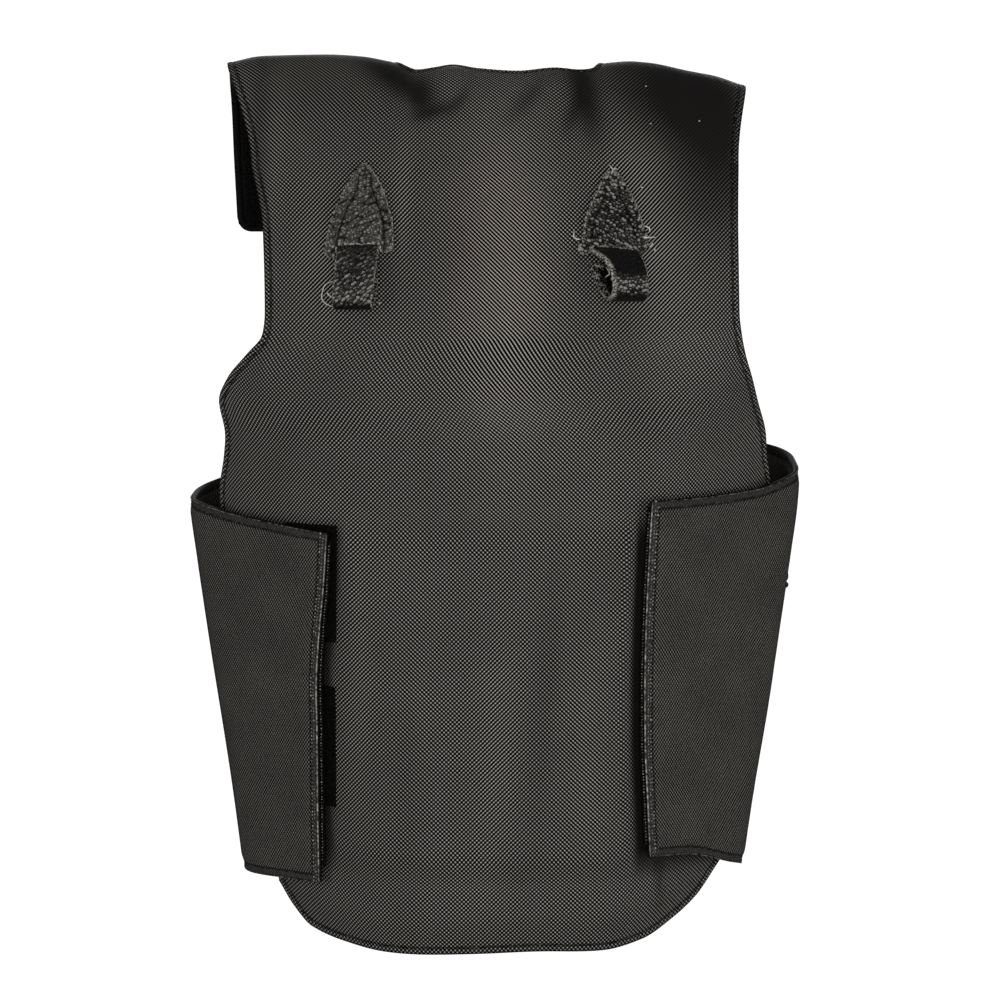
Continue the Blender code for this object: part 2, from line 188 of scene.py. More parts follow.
def fold(x, crease, slope):
    """How far a flank has folded away at x: nothing inside the crease, a straight slope beyond it."""
    return slope * CREASE_WIDTH * np.logaddexp(0.0, (np.abs(x) - crease) / CREASE_WIDTH)


def back_y(x, z):
    """The middle of the back panel's padding."""
    crease = np.where(x < 0, smooth(FLANK, "left", z), smooth(FLANK, "right", z))
    slope = smooth(FLANK, "slope", z)
    return smooth(SPINE, "back", z) + x * x / (2 * ROUND_RADIUS) + fold(x, crease, slope)


def front_y(x, z):
    """The middle of the front panel's padding. Its straps follow the slope of the shoulders."""
    crease = smooth(FLANK, "front", z)
    slope = smooth(FLANK, "slope", z)
    drop = np.maximum(0.0, 1 - z / FRONT_NECK_Z) * (CROWN_TOP - smooth(CROWN, "z", x))
    return smooth(SPINE, "front", z + drop) - x * x / (2 * ROUND_RADIUS) - fold(x, crease, slope)


def outwards(surface, x, z, away, facing):
    """Points at a distance from a surface y(x, z), along its normal on the facing side."""
    step = 0.5
    dx = (surface(x + step, z) - surface(x - step, z)) / (2 * step)
    dz = (surface(x, z + step) - surface(x, z - step)) / (2 * step)
    normal = unit(place(-dx, 1.0, -dz)) * facing
    return place(x, surface(x, z), z) + normal * np.asarray(away)[..., None]


def on_back(x, z, away):
    return outwards(back_y, x, z, away, -1)


def on_front(x, z, away):
    return outwards(front_y, x, z, away, 1)


def blots(columns, key, x, z):
    """Soft oval patches from a table, added up at x and z. Each may be turned, in degrees."""
    total = np.zeros(np.broadcast(x, z).shape)
    for middle_x, middle_z, wide, high, turn, amount in zip(*(columns[k] for k in (*BLOT, key))):
        c = math.cos(math.radians(turn))
        s = math.sin(math.radians(turn))
        across = ((x - middle_x) * c + (z - middle_z) * s) / wide
        along = ((z - middle_z) * c - (x - middle_x) * s) / high
        total = total + amount * np.exp(-across ** 2 - along ** 2)
    return total


print("depth at the waist:", round(float(front_y(0.0, -300.0) - back_y(0.0, -300.0))), "mm")

# %% [markdown]
# A material starts from its real colour. The colours are written as they look on a screen, in hex, and
# one function turns them into the linear light that Blender works with. Another small function adds a
# node to a material, sets it and links it, so a finish reads as a recipe from top to bottom.

# %% Colour and node helpers


def linear(hex_colour):
    """An sRGB hex colour as linear red, green, blue and alpha."""
    values = [int(hex_colour[i:i + 2], 16) / 255 for i in (1, 3, 5)]
    return [v / 12.92 if v <= 0.04045 else ((v + 0.055) / 1.055) ** 2.4 for v in values] + [1.0]


def add(tree, kind, *inputs, out=0, stops=(), **settings):
    """A new node, set and linked. Gives one of its outputs.

    kind may end with an operation. inputs are values or links, in the order of the sockets or as one
    dict with the sockets' names. stops are the places and colours of a ramp.
    """
    kind, _, operation = kind.partition(" ")
    node = tree.nodes.new("ShaderNode" + kind)
    if operation:
        node.operation = operation
    for name, value in settings.items():
        setattr(node, name, value)
    sockets = inputs[0] if inputs and isinstance(inputs[0], dict) else dict(enumerate(inputs))
    for socket, value in sockets.items():
        if isinstance(value, bpy.types.NodeSocket):
            tree.links.new(value, node.inputs[socket])
        else:
            node.inputs[socket].default_value = value
    if stops:
        band = node.color_ramp.elements
        while len(band) < len(stops):
            band.new(1.0)
        for element, (position, colour) in zip(band, stops):
            element.position = position
            element.color = linear(colour)
    return node.outputs[out] if node.outputs else node


def new_material(name, **constants):
    """A material with one Principled shader whose even values are set on its own sockets."""
    material = bpy.data.materials.new(name)
    material.use_nodes = True
    shader = material.node_tree.nodes["Principled BSDF"]
    for socket, value in constants.items():
        shader.inputs[socket.replace("_", " ")].default_value = value
    return material, material.node_tree, shader


print("black nylon as linear light:", [round(v, 3) for v in linear("#433f3b")[:3]])

# %% [markdown]
# Every finish here is built from the same few moves: soft patches of a known size, a painted shade along
# the rim and the seam, a painted shade that falls to black where cloth is seen edge on, and a bump as deep
# as the real relief.

# %% What the finishes share
# Painted shade for cloth seen edge on: from and to, as facing, and the share of colour left at each.
EDGE_PAINTED_SHADE = (0.74, 0.94, 1.0, 0.08)
RIM_SHADE = (1.0, 2.2, 0.15, 1.0)
SEAM_WANDER = 1.6


def cloud(tree, size, detail=3.0):
    """Soft patches of a size in millimetres, in the piece's own coordinates."""
    own = add(tree, "TexCoord", out="Object")
    return add(tree, "TexNoise", {"Vector": own, "Scale": 1 / (size * MM), "Detail": detail})


def mottled(tree, colour, size, low, high):
    """The colour a little lighter and darker in soft patches of a size in millimetres."""
    shade = add(tree, "MapRange", cloud(tree, size), 0.3, 0.7, low, high)
    return add(tree, "VectorMath SCALE", {0: colour, 3: shade})


def painted_seam_shade(tree, colour, seam, width, shade):
    """The colour with painted shade along the rim and along the stitches, where the cloth is pulled in."""
    inside = add(tree, "Attribute", attribute_name="inside", out="Fac")
    inside = add(tree, "Math MULTIPLY_ADD", cloud(tree, 2.5, 2.0), SEAM_WANDER, inside)
    off = add(tree, "Math ABSOLUTE", add(tree, "Math SUBTRACT", inside, seam + SEAM_WANDER / 2))
    line = add(tree, "MapRange", off, 0.3 * width, width, shade, 1.0)
    both = add(tree, "Math MULTIPLY", line, add(tree, "MapRange", inside, *RIM_SHADE))
    return add(tree, "VectorMath SCALE", {0: colour, 3: both})


def painted_edge_shade(tree, colour):
    """The colour with painted shade, nearly black where cloth is seen edge on and its floats stand in each
    other's shade.
    """
    facing = add(tree, "LayerWeight", {"Blend": 0.5}, out="Facing")
    return add(tree, "VectorMath SCALE", {0: colour, 3: add(tree, "MapRange", facing, *EDGE_PAINTED_SHADE)})


def finish(tree, shader, colour, shine, height, strength, deep):
    """Link a finish to its shader: colour, shine from 0 to 1, and a bump as deep as the real relief."""
    tree.links.new(colour, shader.inputs["Base Color"])
    tree.links.new(shine, shader.inputs["Specular Tint"])
    bump = add(tree, "Bump", {"Strength": strength, "Distance": deep * MM, "Height": height})
    tree.links.new(bump, shader.inputs["Normal"])


print("finishes share patches, seams, edges and bumps")

# %% [markdown]
# Ballistic nylon is a coarse basket weave of thick, smooth yarn. Each float is a small bright bump, and
# the holes between the floats are black, so the cloth looks dotted from close by and takes on diagonal
# streaks from further away. A grid of sines in the cloth's own coordinates gives that. The cloth's
# coordinates are its UV map in metres along the yarns, because the weave follows the cloth over the
# shoulders and round the flanks. Two attributes of the mesh steer it: lean says which way the streaks
# run, and crushed is painted shade, which mixes the weave towards one flat dark grey.

# %% Ballistic nylon
NYLON_BASKET = 1.3 * MM
PAINTED_SHADE_GREY = 0.42


def weave(tree, across, along):
    """A woven grid from -1 in the holes to 1 on the floats. A lean of 1 or -1 turns it to streaks."""
    parts = add(tree, "SeparateXYZ", add(tree, "UVMap", uv_map="cloth")).node.outputs
    u = add(tree, "Math MULTIPLY", parts[0], math.pi / across)
    v = add(tree, "Math MULTIPLY", parts[1], math.pi / along)
    rising = add(tree, "Math COSINE", add(tree, "Math SUBTRACT", u, v))
    falling = add(tree, "Math COSINE", add(tree, "Math ADD", u, v))
    lean = add(tree, "Attribute", attribute_name="lean", out="Fac")
    share = add(tree, "Math MULTIPLY_ADD", lean, 0.5, 0.5)
    one = add(tree, "Math MULTIPLY", rising, share)
    other = add(tree, "Math MULTIPLY", falling, add(tree, "Math SUBTRACT", 1.0, share))
    return add(tree, "Math SUBTRACT", one, other)


def ballistic_nylon():
    """Woven on a loom from thick yarn: dotted, a little shiny, warm black."""
    material, tree, shader = new_material("ballistic_nylon", Roughness=0.5, Specular_IOR_Level=0.35)
    height = add(tree, "Math MULTIPLY_ADD", weave(tree, NYLON_BASKET, NYLON_BASKET), 0.5, 0.5)
    # Painted shade: this attribute mixes the weave towards one flat dark grey in folds and beside the
    # wings.
    crushed = add(tree, "Attribute", attribute_name="crushed", out="Fac")
    upright = add(tree, "Math MULTIPLY", height, add(tree, "Math SUBTRACT", 1.0, crushed))
    lit = add(tree, "Math MULTIPLY_ADD", crushed, PAINTED_SHADE_GREY, upright)
    holes = ((0.12, "#000000"), (0.3, "#060606"), (0.5, "#252322"))
    floats = ((0.7, "#5a5753"), (0.86, "#96938e"), (1.0, "#cfccc5"))
    colour = add(tree, "ValToRGB", lit, stops=holes + floats)
    shine = add(tree, "ValToRGB", lit, stops=((0.35, "#000000"), (0.8, "#ffffff")))
    colour = painted_seam_shade(tree, mottled(tree, colour, 45.0, 0.92, 1.08), 4.2, 1.4, 0.2)
    finish(tree, shader, painted_edge_shade(tree, colour), painted_edge_shade(tree, shine), height, 0.4, 0.3)
    return material


NYLON = ballistic_nylon()
print("one basket of the nylon:", NYLON_BASKET / MM, "mm")

# %% [markdown]
# The wings are a finer, closer twill, matt and brownish, with a soft nap over it. The leather is hide
# pressed with a pebble grain: shiny, with a painted highlight on top of the pebbles and painted shade in
# the creases, and paler and rough where the knife has cut it. All that's left is some kind of fibre, and
# one recipe serves: light specks on a dark ground.

# %% Wing cloth, leather, tapes and threads
WING_TWILL = (1.0 * MM, 1.4 * MM)
HEM_WIDTH = 5.4
PILE = {"shine": 0.1, "detail": 3.0, "strength": 0.8, "deep": 0.5}
NAP = {"roughness": 0.9, "shine": 0.2, "detail": 3.0, "strength": 0.6, "deep": 0.4}


def wing_cloth():
    """Fine twill, matt brownish black, and smoother where the hem is folded."""
    material, tree, shader = new_material("wing_cloth", Roughness=0.7, Specular_IOR_Level=0.25)
    inside = add(tree, "Attribute", attribute_name="inside", out="Fac")
    hem = add(tree, "MapRange", inside, HEM_WIDTH - 0.8, HEM_WIDTH)
    plain = add(tree, "Math MULTIPLY_ADD", hem, 0.42, 0.18)
    soft = add(tree, "Math MULTIPLY", weave(tree, *WING_TWILL), plain)
    twill = add(tree, "Math ADD", soft, 0.225)
    height = add(tree, "Math MULTIPLY_ADD", cloud(tree, 1.1), 0.55, twill)
    dark = ((0.05, "#040404"), (0.3, "#191817"), (0.5, "#343230"))
    colour = add(tree, "ValToRGB", height, stops=dark + ((0.75, "#56534f"), (1.0, "#7d7973")))
    shine = add(tree, "ValToRGB", height, stops=((0.3, "#000000"), (0.8, "#ffffff")))
    colour = painted_seam_shade(tree, mottled(tree, colour, 30.0, 0.88, 1.12), 5.0, 1.2, 0.25)
    finish(tree, shader, painted_edge_shade(tree, colour), painted_edge_shade(tree, shine), height, 0.3, 0.2)
    return material


def pebbled_leather():
    """Tanned hide pressed with pebbles, with a painted highlight on the pebbles' tops and painted shade in
    the creases.
    """
    material, tree, shader = new_material("pebbled_leather", Roughness=0.4, Specular_IOR_Level=0.5)
    pebble, inside, raw = (
        add(tree, "Attribute", attribute_name=name, out="Fac") for name in ("pebble", "inside", "raw")
    )
    rough = add(tree, "Math MULTIPLY_ADD", cloud(tree, 0.7, 4.0), 0.6, -0.3)
    relief = add(tree, "Math ADD", pebble, rough)
    # Painted shade in the creases and a painted highlight on the pebbles' tops, both read from the relief.
    painted_pebble_light = ((0.1, "#131212"), (0.5, "#252322"), (0.8, "#514e4a"), (1.0, "#8f8c87"))
    gloss = ((0.1, "#121212"), (0.5, "#1c1c1c"), (0.75, "#6a6a6a"), (1.0, "#ffffff"))
    hide = add(tree, "ValToRGB", relief, stops=painted_pebble_light)
    cut = add(tree, "ValToRGB", cloud(tree, 1.2), stops=((0.42, "#141312"), (0.62, "#b9b5ae")))
    rim = add(tree, "MapRange", inside, 0.2, 0.8, 1.0, 0.0)
    torn = add(tree, "Math MAXIMUM", rim, raw)
    colour = add(tree, "Mix", {0: torn, 6: hide, 7: cut}, data_type="RGBA", out=2)
    finish(tree, shader, colour, add(tree, "ValToRGB", relief, stops=gloss), relief, 0.5, 0.35)
    return material


def fibrous(name, size, *stops, roughness=0.5, shine=0.3, detail=2.0, strength=0.5, deep=0.1, painted_inner_shade=None):
    """Pile, nap or twisted thread, with specks of a size in millimetres.

    painted_inner_shade is painted shade that darkens it away from a cut edge: from and to, in millimetres,
    and the shade at each.
    """
    material, tree, shader = new_material(name, Roughness=roughness, Specular_IOR_Level=shine)
    specks = cloud(tree, size, detail)
    colour = add(tree, "ValToRGB", specks, stops=stops)
    if painted_inner_shade:
        inside = add(tree, "Attribute", attribute_name="inside", out="Fac")
        colour = add(tree, "VectorMath SCALE", {0: colour, 3: add(tree, "MapRange", inside, *painted_inner_shade)})
    finish(tree, shader, colour, colour, specks, strength, deep)
    return material


WING_CLOTH = wing_cloth()
LEATHER_HIDE = pebbled_leather()

# Moulded nylon hooks and brushed nylon loops: very dark, with stray light specks.
HOOK_TAPE = fibrous("hook_tape", 0.9, (0.45, "#0c0b0b"), (0.75, "#2b2927"), roughness=0.7, **PILE)
LOOP_TAPE = fibrous("loop_tape", 0.9, (0.45, "#080807"), (0.75, "#211f1e"), roughness=0.95, **PILE)

# The unfinished inner side of the hide: a matt nap of fibres, darkened by painted shade away from the cut
# edge, deep inside the loop.
FLESH = ((0.42, "#0f0e0d"), (0.52, "#35322f"), (0.66, "#b3afa8"))
FLESH_SIDE = fibrous("leather_flesh_side", 1.2, *FLESH, painted_inner_shade=(1.5, 5.0, 1.0, 0.06), **NAP)

# Twisted polyester thread, which catches the light here and there, and yarns rubbed bare at the folds.
THREAD = fibrous("sewing_thread", 3.0, (0.4, "#121110"), (0.68, "#5a5753"))
WORN_THREAD = fibrous("worn_thread", 2.2, (0.4, "#4a4744"), (0.68, "#c4c0b9"))
FOLD = fibrous("folded_edge", 2.6, (0.4, "#1d1c1b"), (0.68, "#807c76"))
FIBRE = fibrous("loose_fibre", 3.0, (0.4, "#c2bfb9"), (0.68, "#f4f1ec"))
print("materials:", ", ".join(sorted(m.name for m in bpy.data.materials)))

# %% [markdown]
# Every cloth part is one closed sheet. A grid is laid on the surface, cells outside the pattern are cut
# away, and a Solidify modifier gives the sheet its thickness, half on each side. A vertex group tells
# it how thick each place is: thin at the folded hem, pulled in at the row of stitches, then swelling to
# the full padding. Each vertex also gets its place along the yarns, which becomes the UV map.

# %% From a grid to a mesh


def lengths_along(points, axis, skip, start):
    """Distances along one direction of a grid of points, leaving one axis out, from a start index."""
    steps = np.diff(points, axis=axis)
    steps[..., skip] = 0.0
    run = np.cumsum(np.linalg.norm(steps, axis=-1), axis=axis)
    run = np.concatenate((np.zeros_like(np.take(run, [0], axis=axis)), run), axis=axis)
    return run - np.take(run, [start], axis=axis)


def rim_tree(bm):
    """The sheet's open edges as points close together, to measure distances from."""
    shares = (0.0, 0.25, 0.5, 0.75)
    edges = [edge for edge in bm.edges if edge.is_boundary]
    tree = KDTree(len(edges) * len(shares))
    for i, edge in enumerate(edges):
        for j, share in enumerate(shares):
            tree.insert(edge.verts[0].co.lerp(edge.verts[1].co, share), i * len(shares) + j)
    tree.balance()
    return tree


def linked(name, data):
    """A new object in the scene."""
    thing = bpy.data.objects.new(name, data)
    bpy.context.scene.collection.objects.link(thing)
    return thing


def finished_mesh(name, bm, material):
    """What was built in bmesh, as a smooth mesh of one material."""
    mesh = bpy.data.meshes.new(name)
    bm.to_mesh(mesh)
    bm.free()
    mesh.materials.append(material)
    mesh.shade_smooth()
    return mesh


print("grids, meshes and objects can be made")

# %% [markdown]
# The sheet itself is one function for every part of cloth, tape and leather. What differs is the grid,
# the profile of its thickness and the numbers that it carries for its material.

# %% Sheets of cloth
GROOVE_WIDTH = 0.9
RIM_THIN = 0.55
RIM_ROUND = 1.2
SWELL_POWER = 1.3


def sheet(name, points, thickness, material, profile=None, keep=None, start=(0, 0), marks=None):
    """A closed sheet on a grid of points in millimetres, points[row, column].

    profile(distance from the rim, place) is its thickness there, at most thickness, and keep(row,
    column) says which cells stay. start is the row and column that the yarns are counted from. marks
    are more numbers for the material, each a grid like points. Every sheet also carries inside, its
    distance from the rim in millimetres.
    """
    rows = points.shape[0] - 1
    columns = points.shape[1] - 1
    us = lengths_along(points, 1, 2, start[1]) * MM
    vs = lengths_along(points, 0, 0, start[0]) * MM
    bm = bmesh.new()
    bmesh.ops.create_grid(bm, x_segments=columns, y_segments=rows, size=0.5)
    where = {}
    for vertex in bm.verts:
        where[vertex] = (round((vertex.co.y + 0.5) * rows), round((vertex.co.x + 0.5) * columns))
    if keep is not None:
        cut = []
        for face in bm.faces:
            row = min(where[vertex][0] for vertex in face.verts)
            column = min(where[vertex][1] for vertex in face.verts)
            if not keep(row, column):
                cut.append(face)
        bmesh.ops.delete(bm, geom=cut, context="FACES")
    for vertex in bm.verts:
        vertex.co = points[where[vertex]] * MM
    cloth = bm.loops.layers.uv.new("cloth")
    for face in bm.faces:
        for loop in face.loops:
            loop[cloth].uv = (us[where[loop.vert]], vs[where[loop.vert]])
    rim = rim_tree(bm)
    insides = [rim.find(vertex.co)[2] / MM for vertex in bm.verts]
    shares = [1.0] * len(insides)
    if profile is not None:
        shares = [min(1.0, profile(a, v.co / MM) / thickness) for a, v in zip(insides, bm.verts)]
    numbers = {"inside": insides}
    for key, grid in (marks or {}).items():
        numbers[key] = [grid[where[vertex]] for vertex in bm.verts]
    mesh = finished_mesh(name, bm, material)
    for key, values in numbers.items():
        mesh.attributes.new(key, "FLOAT", "POINT").data.foreach_set("value", values)
    piece = linked(name, mesh)
    group = piece.vertex_groups.new(name="thickness")
    for i, share in enumerate(shares):
        group.add([i], share, "REPLACE")
    solid = piece.modifiers.new("thickness", "SOLIDIFY")
    solid.thickness = thickness * MM
    solid.offset = 0.0
    solid.use_even_offset = False
    solid.vertex_group = "thickness"
    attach(piece, "root")
    return piece


def hem_profile(full, edge, seam, groove, swell):
    """Thickness from the rim inwards: a folded edge, a row of stitches, then the padding."""

    def profile(inside, place_at):
        pad = full(place_at) if callable(full) else full
        pulled = groove * math.exp(-((inside - seam) / GROOVE_WIDTH) ** 2)
        t = min(1.0, max(0.0, (inside - seam) / swell))
        rounded = edge * min(1.0, mix(RIM_THIN, 1.0, inside / RIM_ROUND))
        return rounded - pulled + (pad - edge) * math.sin(t * math.pi / 2) ** SWELL_POWER

    return profile


print("sheets are ready to lay")

# %% [markdown]
# The back panel is one padded piece: it starts at the rounded tail, narrows at the armholes, climbs over
# the shoulders and ends in two flaps on the front. First come its measures: how thick each layer is, and
# the outline as short tables.

# %% The back panel's pattern
PAD = 10.0
STRAP_PAD = 7.0
GAP = 0.4
HOOK = 2.0
LOOP = 1.5
WING = 5.0
LEATHER = 2.5
LAP_GAP = 0.7
SHOULDER_Z = -60.0
CROWN_Y = -8.0
STRAP_TOP_Z = -18.0
STRAP_DROP = 0.85
FLAP_END_Z = -104.0
FLAP_CORNER = 9.0
FLAP_WIDTH = 98.0
RISE_FOOT = 26.0
RISE_CROWN = 36.0
OVER_CROWN = 16.0
OVER_END = 12.0
OVER_SHARE = 0.3
BACK_THINS = 40.0
FLAP_AWAY = STRAP_PAD / 2 + GAP + HOOK + GAP + STRAP_PAD / 2
NECK_SHARES = (0.33, 0.718)
BODY_HEM = (2.6, 4.0, 0.9, 20.0)

BACK_EDGES = table(
    "z left right",
    (-560, -132, 135),
    (-500, -139, 143),
    (-380, -160, 163),
    (-265, -174, 175),
    (-240, -170, 171),
    (-226, -168.5, 169.5),
    (-205, -171.5, 163),
    (-190, -165, 158.5),
    (-175, -152, 153.5),
    (-163, -142, 151),
    (-150, -140.5, 149.5),
    (-100, -142, 149),
    (-60, -150, 150),
    (-30, -159, 153),
    (10, -169, 158),
)

HEM = table(
    "share z",
    (0.0, -512),
    (0.03, -526),
    (0.07, -537),
    (0.14, -542),
    (0.24, -544.5),
    (0.45, -543),
    (0.60, -541.5),
    (0.74, -542.5),
    (0.83, -539),
    (0.90, -529),
    (0.95, -518),
    (1.0, -497),
)

FLAPS = table(
    "share left_outer left_inner right_inner right_outer",
    (0.0, -169, -61, 66, 158),
    (0.3, -167, -64, 67, 156),
    (0.7, -168, -70, 72, 153),
    (1.0, -168, -76, 78, 148),
)

NECK_EDGE = table(
    "x share",
    (-61, 1.0),
    (-57, 0.88),
    (-50, 0.80),
    (-38, 0.84),
    (-27, 0.90),
    (-12, 0.82),
    (14, 0.775),
    (38, 0.83),
    (52, 0.80),
    (61, 0.82),
    (65.8, 1.0),
)

WING_ENDS = table(
    "z left right",
    (-510, -101.3, 89.3),
    (-485, -101.8, 88.4),
    (-450, -102.1, 87),
    (-410, -102.1, 85.6),
    (-380, -102.4, 85.6),
    (-350, -100.8, 86.2),
    (-316, -98, 87.5),
    (-280, -96.5, 89.5),
    (-260, -96, 91),
)

SIDES = (("left", -1), ("right", 1))
print("the back's outline has", len(BACK_EDGES["z"]), "heights")

# %% [markdown]
# Worn cloth is never even. The wings press on the back like a belt, so the padding swells between them.
# Soft hollows are pressed in round the neck, painted shade darkens the cloth in folds, over the right
# shoulder and beside the belt's edge, and in broad streaks the yarns lean one way or the other and catch
# the light.

# %% Swells, hollows and painted shade
BULGE = 3.5
BULGE_WIDTH = 11.0
BELT_SPAN = (-480.0, -292.0)
BELT_FADE = 22.0
EVEN_PAINTED_SHADE = 0.01
BELT_PAINTED_SHADOW = 1.0
BELT_SHADOW_WIDTH = 5.0
SHOULDER_HEM = 9.0
FLAP_SHADE = 0.85
FLAP_SHADE_X = -152.0
FLAP_SHADE_FADES = (5.0, 10.0)
CROWN_FADE = 16.0
BEHIND_CROWN = (6.0, 10.0)
LEFT_BELT_SHADOW = 0.6
MOST_LEAN = 0.9
MOST_PAINTED_SHADE = 0.92
HEM_PAINTED_SHADE_SHARE = 0.35

NECK_DENTS = table(
    "x z wide high turn deep",
    (-76, 2, 20, 9, -30, 3),
    (-52, -14, 13, 20, 0, 6),
    (56, -22, 11, 26, 0, 6),
    (118, -16, 42, 22, -32, 4),
)

STREAKS = table(
    "x z wide high turn lean",
    (-118, -12, 45, 36, 0, -0.85),
    (-141, -87, 14, 66, 0, -0.65),
    (-104, -123, 25, 57, 0, 0.75),
    (-55, -81, 9, 66, 0, 0.7),
    (9, -129, 45, 138, 0, -0.85),
    (97, -87, 40, 100, 0, 0.95),
    (-118, -250, 36, 48, 0, 0.35),
    (-81, -381, 12, 96, 0, 0.5),
    (-50, -375, 11, 96, 0, -0.25),
    (1, -405, 18, 90, 0, 0.5),
    (56, -417, 17, 84, 0, -0.5),
)

# Patches of painted shade on the back: over the right shoulder, in the creases round the neck, by the left
# armhole and along soft folds. Rows below zero take some of it away on the ridges.
PAINTED_SHADE_PATCHES = table(
    "x z wide high turn share",
    (120, -22, 46, 27, -30, 1.05),
    (136, -66, 26, 44, 8, 0.42),
    (-62, -8, 24, 8, -35, 0.8),
    (55, -16, 8, 24, 12, 0.9),
    (-45, -19, 7, 12, 0, 0.5),
    (-37, -29, 12, 3.5, 18, 0.5),
    (-22, -22, 3.5, 10, -35, 0.3),
    (20, -21, 5, 16, -41, 0.28),
    (47, -30, 4, 12, -20, 0.35),
    (-145, -75, 7, 75, 0, 0.3),
    (-100, -190, 26, 26, -35, 0.14),
    (-80, -110, 55, 45, 0, 0.1),
    (-118, -12, 44, 30, 0, 0.3),
    (112, -80, 30, 30, 0, 0.14),
    (74, -160, 18, 60, 10, 0.08),
    (4, -330, 14, 150, -9, -0.14),
    (52, -430, 10, 110, 0, -0.08),
    (28, -400, 9, 90, -5, 0.08),
    (-52, -430, 7, 90, 0, 0.06),
    (99, -495, 2.5, 20, 4, 0.35),
)


def under_belt(x, z):
    """How far inside the wings' ends a place is, across the belt that they make over the back."""
    reach = np.full(np.broadcast(x, z).shape, 1000.0)
    for name, side in SIDES:
        reach = np.minimum(reach, side * (smooth(WING_ENDS, name, z) - x))
    return reach


def belt_height(z):
    """1 where the wings press on the back and 0 above and below them, with soft ends."""
    low, high = BELT_SPAN
    return ease((z - low + BELT_FADE) / BELT_FADE) * ease((high + BELT_FADE - z) / BELT_FADE)


def bulged(points):
    """Padding squeezed out between the wings' ends, which stands a little prouder than under them."""
    x = points[..., 0]
    z = points[..., 2]
    free = ease(under_belt(x, z) / BULGE_WIDTH) * belt_height(z)
    points[..., 1] -= BULGE * free
    return points


def dented(points):
    """The hollows pressed into the cloth round the neck's corners and over the right shoulder."""
    below_crown = ease((CROWN_Y - points[..., 1]) / CROWN_FADE)
    points[..., 1] += blots(NECK_DENTS, "deep", points[..., 0], points[..., 2]) * below_crown
    return points


def nylon_marks(points):
    """Which way the streaks run, and where painted shade darkens the cloth, for a grid on the back."""
    x = points[..., 0]
    z = points[..., 2]
    lean = np.clip(blots(STREAKS, "lean", x, z), -MOST_LEAN, MOST_LEAN)
    # Painted shadow beside the wings' ends, where they stand off the back, stronger on the right.
    belt_shadow = np.exp(-(np.maximum(under_belt(x, z), 0.0) / BELT_SHADOW_WIDTH) ** 4) * belt_height(z)
    belt_shadow = BELT_PAINTED_SHADOW * np.where(x > 0, 1.0, LEFT_BELT_SHADOW) * belt_shadow
    crushed = EVEN_PAINTED_SHADE + blots(PAINTED_SHADE_PATCHES, "share", x, z) + belt_shadow
    behind = ease((CROWN_Y + BEHIND_CROWN[0] - points[..., 1]) / BEHIND_CROWN[1])
    hem = ease((smooth(BACK_EDGES, "right", z) - x) / SHOULDER_HEM)
    # The painted shade fades out past the crown, and near the right edge above the shoulder line it is
    # weaker.
    crushed = crushed * behind * np.where(z > SHOULDER_Z, mix(HEM_PAINTED_SHADE_SHARE, 1.0, hem), 1.0)
    # Painted shadow on the back under the left shoulder flap.
    under_flap = ease((FLAP_SHADE_X - x) / FLAP_SHADE_FADES[0])
    shaded = FLAP_SHADE * under_flap * ease(points[..., 1] / FLAP_SHADE_FADES[1])
    return {"lean": lean * behind, "crushed": np.clip(crushed + shaded, 0.0, MOST_PAINTED_SHADE)}


print("crushed patches:", len(PAINTED_SHADE_PATCHES["x"]), "and streaks:", len(STREAKS["x"]))

# %% [markdown]
# The grid has a row for each step up the back, over the crown and down the flap, and its columns stop at
# the neck. A cloth simulation would pull the outline away from the real one, so every row is placed by
# a formula instead.

# %% Rows of the back's grid


def across_back(z, share):
    """A place between the back panel's left and right edges at one height."""
    return mix(smooth(BACK_EDGES, "left", z), smooth(BACK_EDGES, "right", z), share)


def strap_top(x):
    """The height of the front strap's end: it follows the shoulder's slope."""
    return STRAP_TOP_Z - (CROWN_TOP - smooth(CROWN, "z", x)) * STRAP_DROP


def flap_x(shares, down):
    """Across a flap: its outer and inner edges drift as it runs down the front."""
    left = mix(
        smooth(FLAPS, "left_outer", down),
        smooth(FLAPS, "left_inner", down),
        np.minimum(shares, NECK_SHARES[0]) / NECK_SHARES[0],
    )
    right = mix(
        smooth(FLAPS, "right_inner", down),
        smooth(FLAPS, "right_outer", down),
        (np.maximum(shares, NECK_SHARES[1]) - NECK_SHARES[1]) / (1 - NECK_SHARES[1]),
    )
    return np.where(shares <= NECK_SHARES[0], left, right)


def flap_end(shares):
    """The flaps' lower edges, with round corners."""
    left = np.minimum(shares, NECK_SHARES[0] - shares) / NECK_SHARES[0]
    right = np.minimum(shares - NECK_SHARES[1], 1 - shares) / (1 - NECK_SHARES[1])
    side = np.where(shares <= NECK_SHARES[0], left, right) * FLAP_WIDTH
    inside = np.clip(1 - side / FLAP_CORNER, 0.0, 1.0)
    return FLAP_END_Z + FLAP_CORNER * (1 - np.sqrt(1 - inside * inside))


def crown_points(x):
    """The top of the shoulder's arch, in the middle of the padding."""
    return place(x, CROWN_Y, smooth(CROWN, "z", x) - STRAP_PAD / 2)


def body_rows(shares, steps):
    """From the hem to the shoulder line."""
    z = mix(smooth(HEM, "z", shares), SHOULDER_Z, steps[:, None])
    x = across_back(z, shares)
    return place(x, back_y(x, z), z)


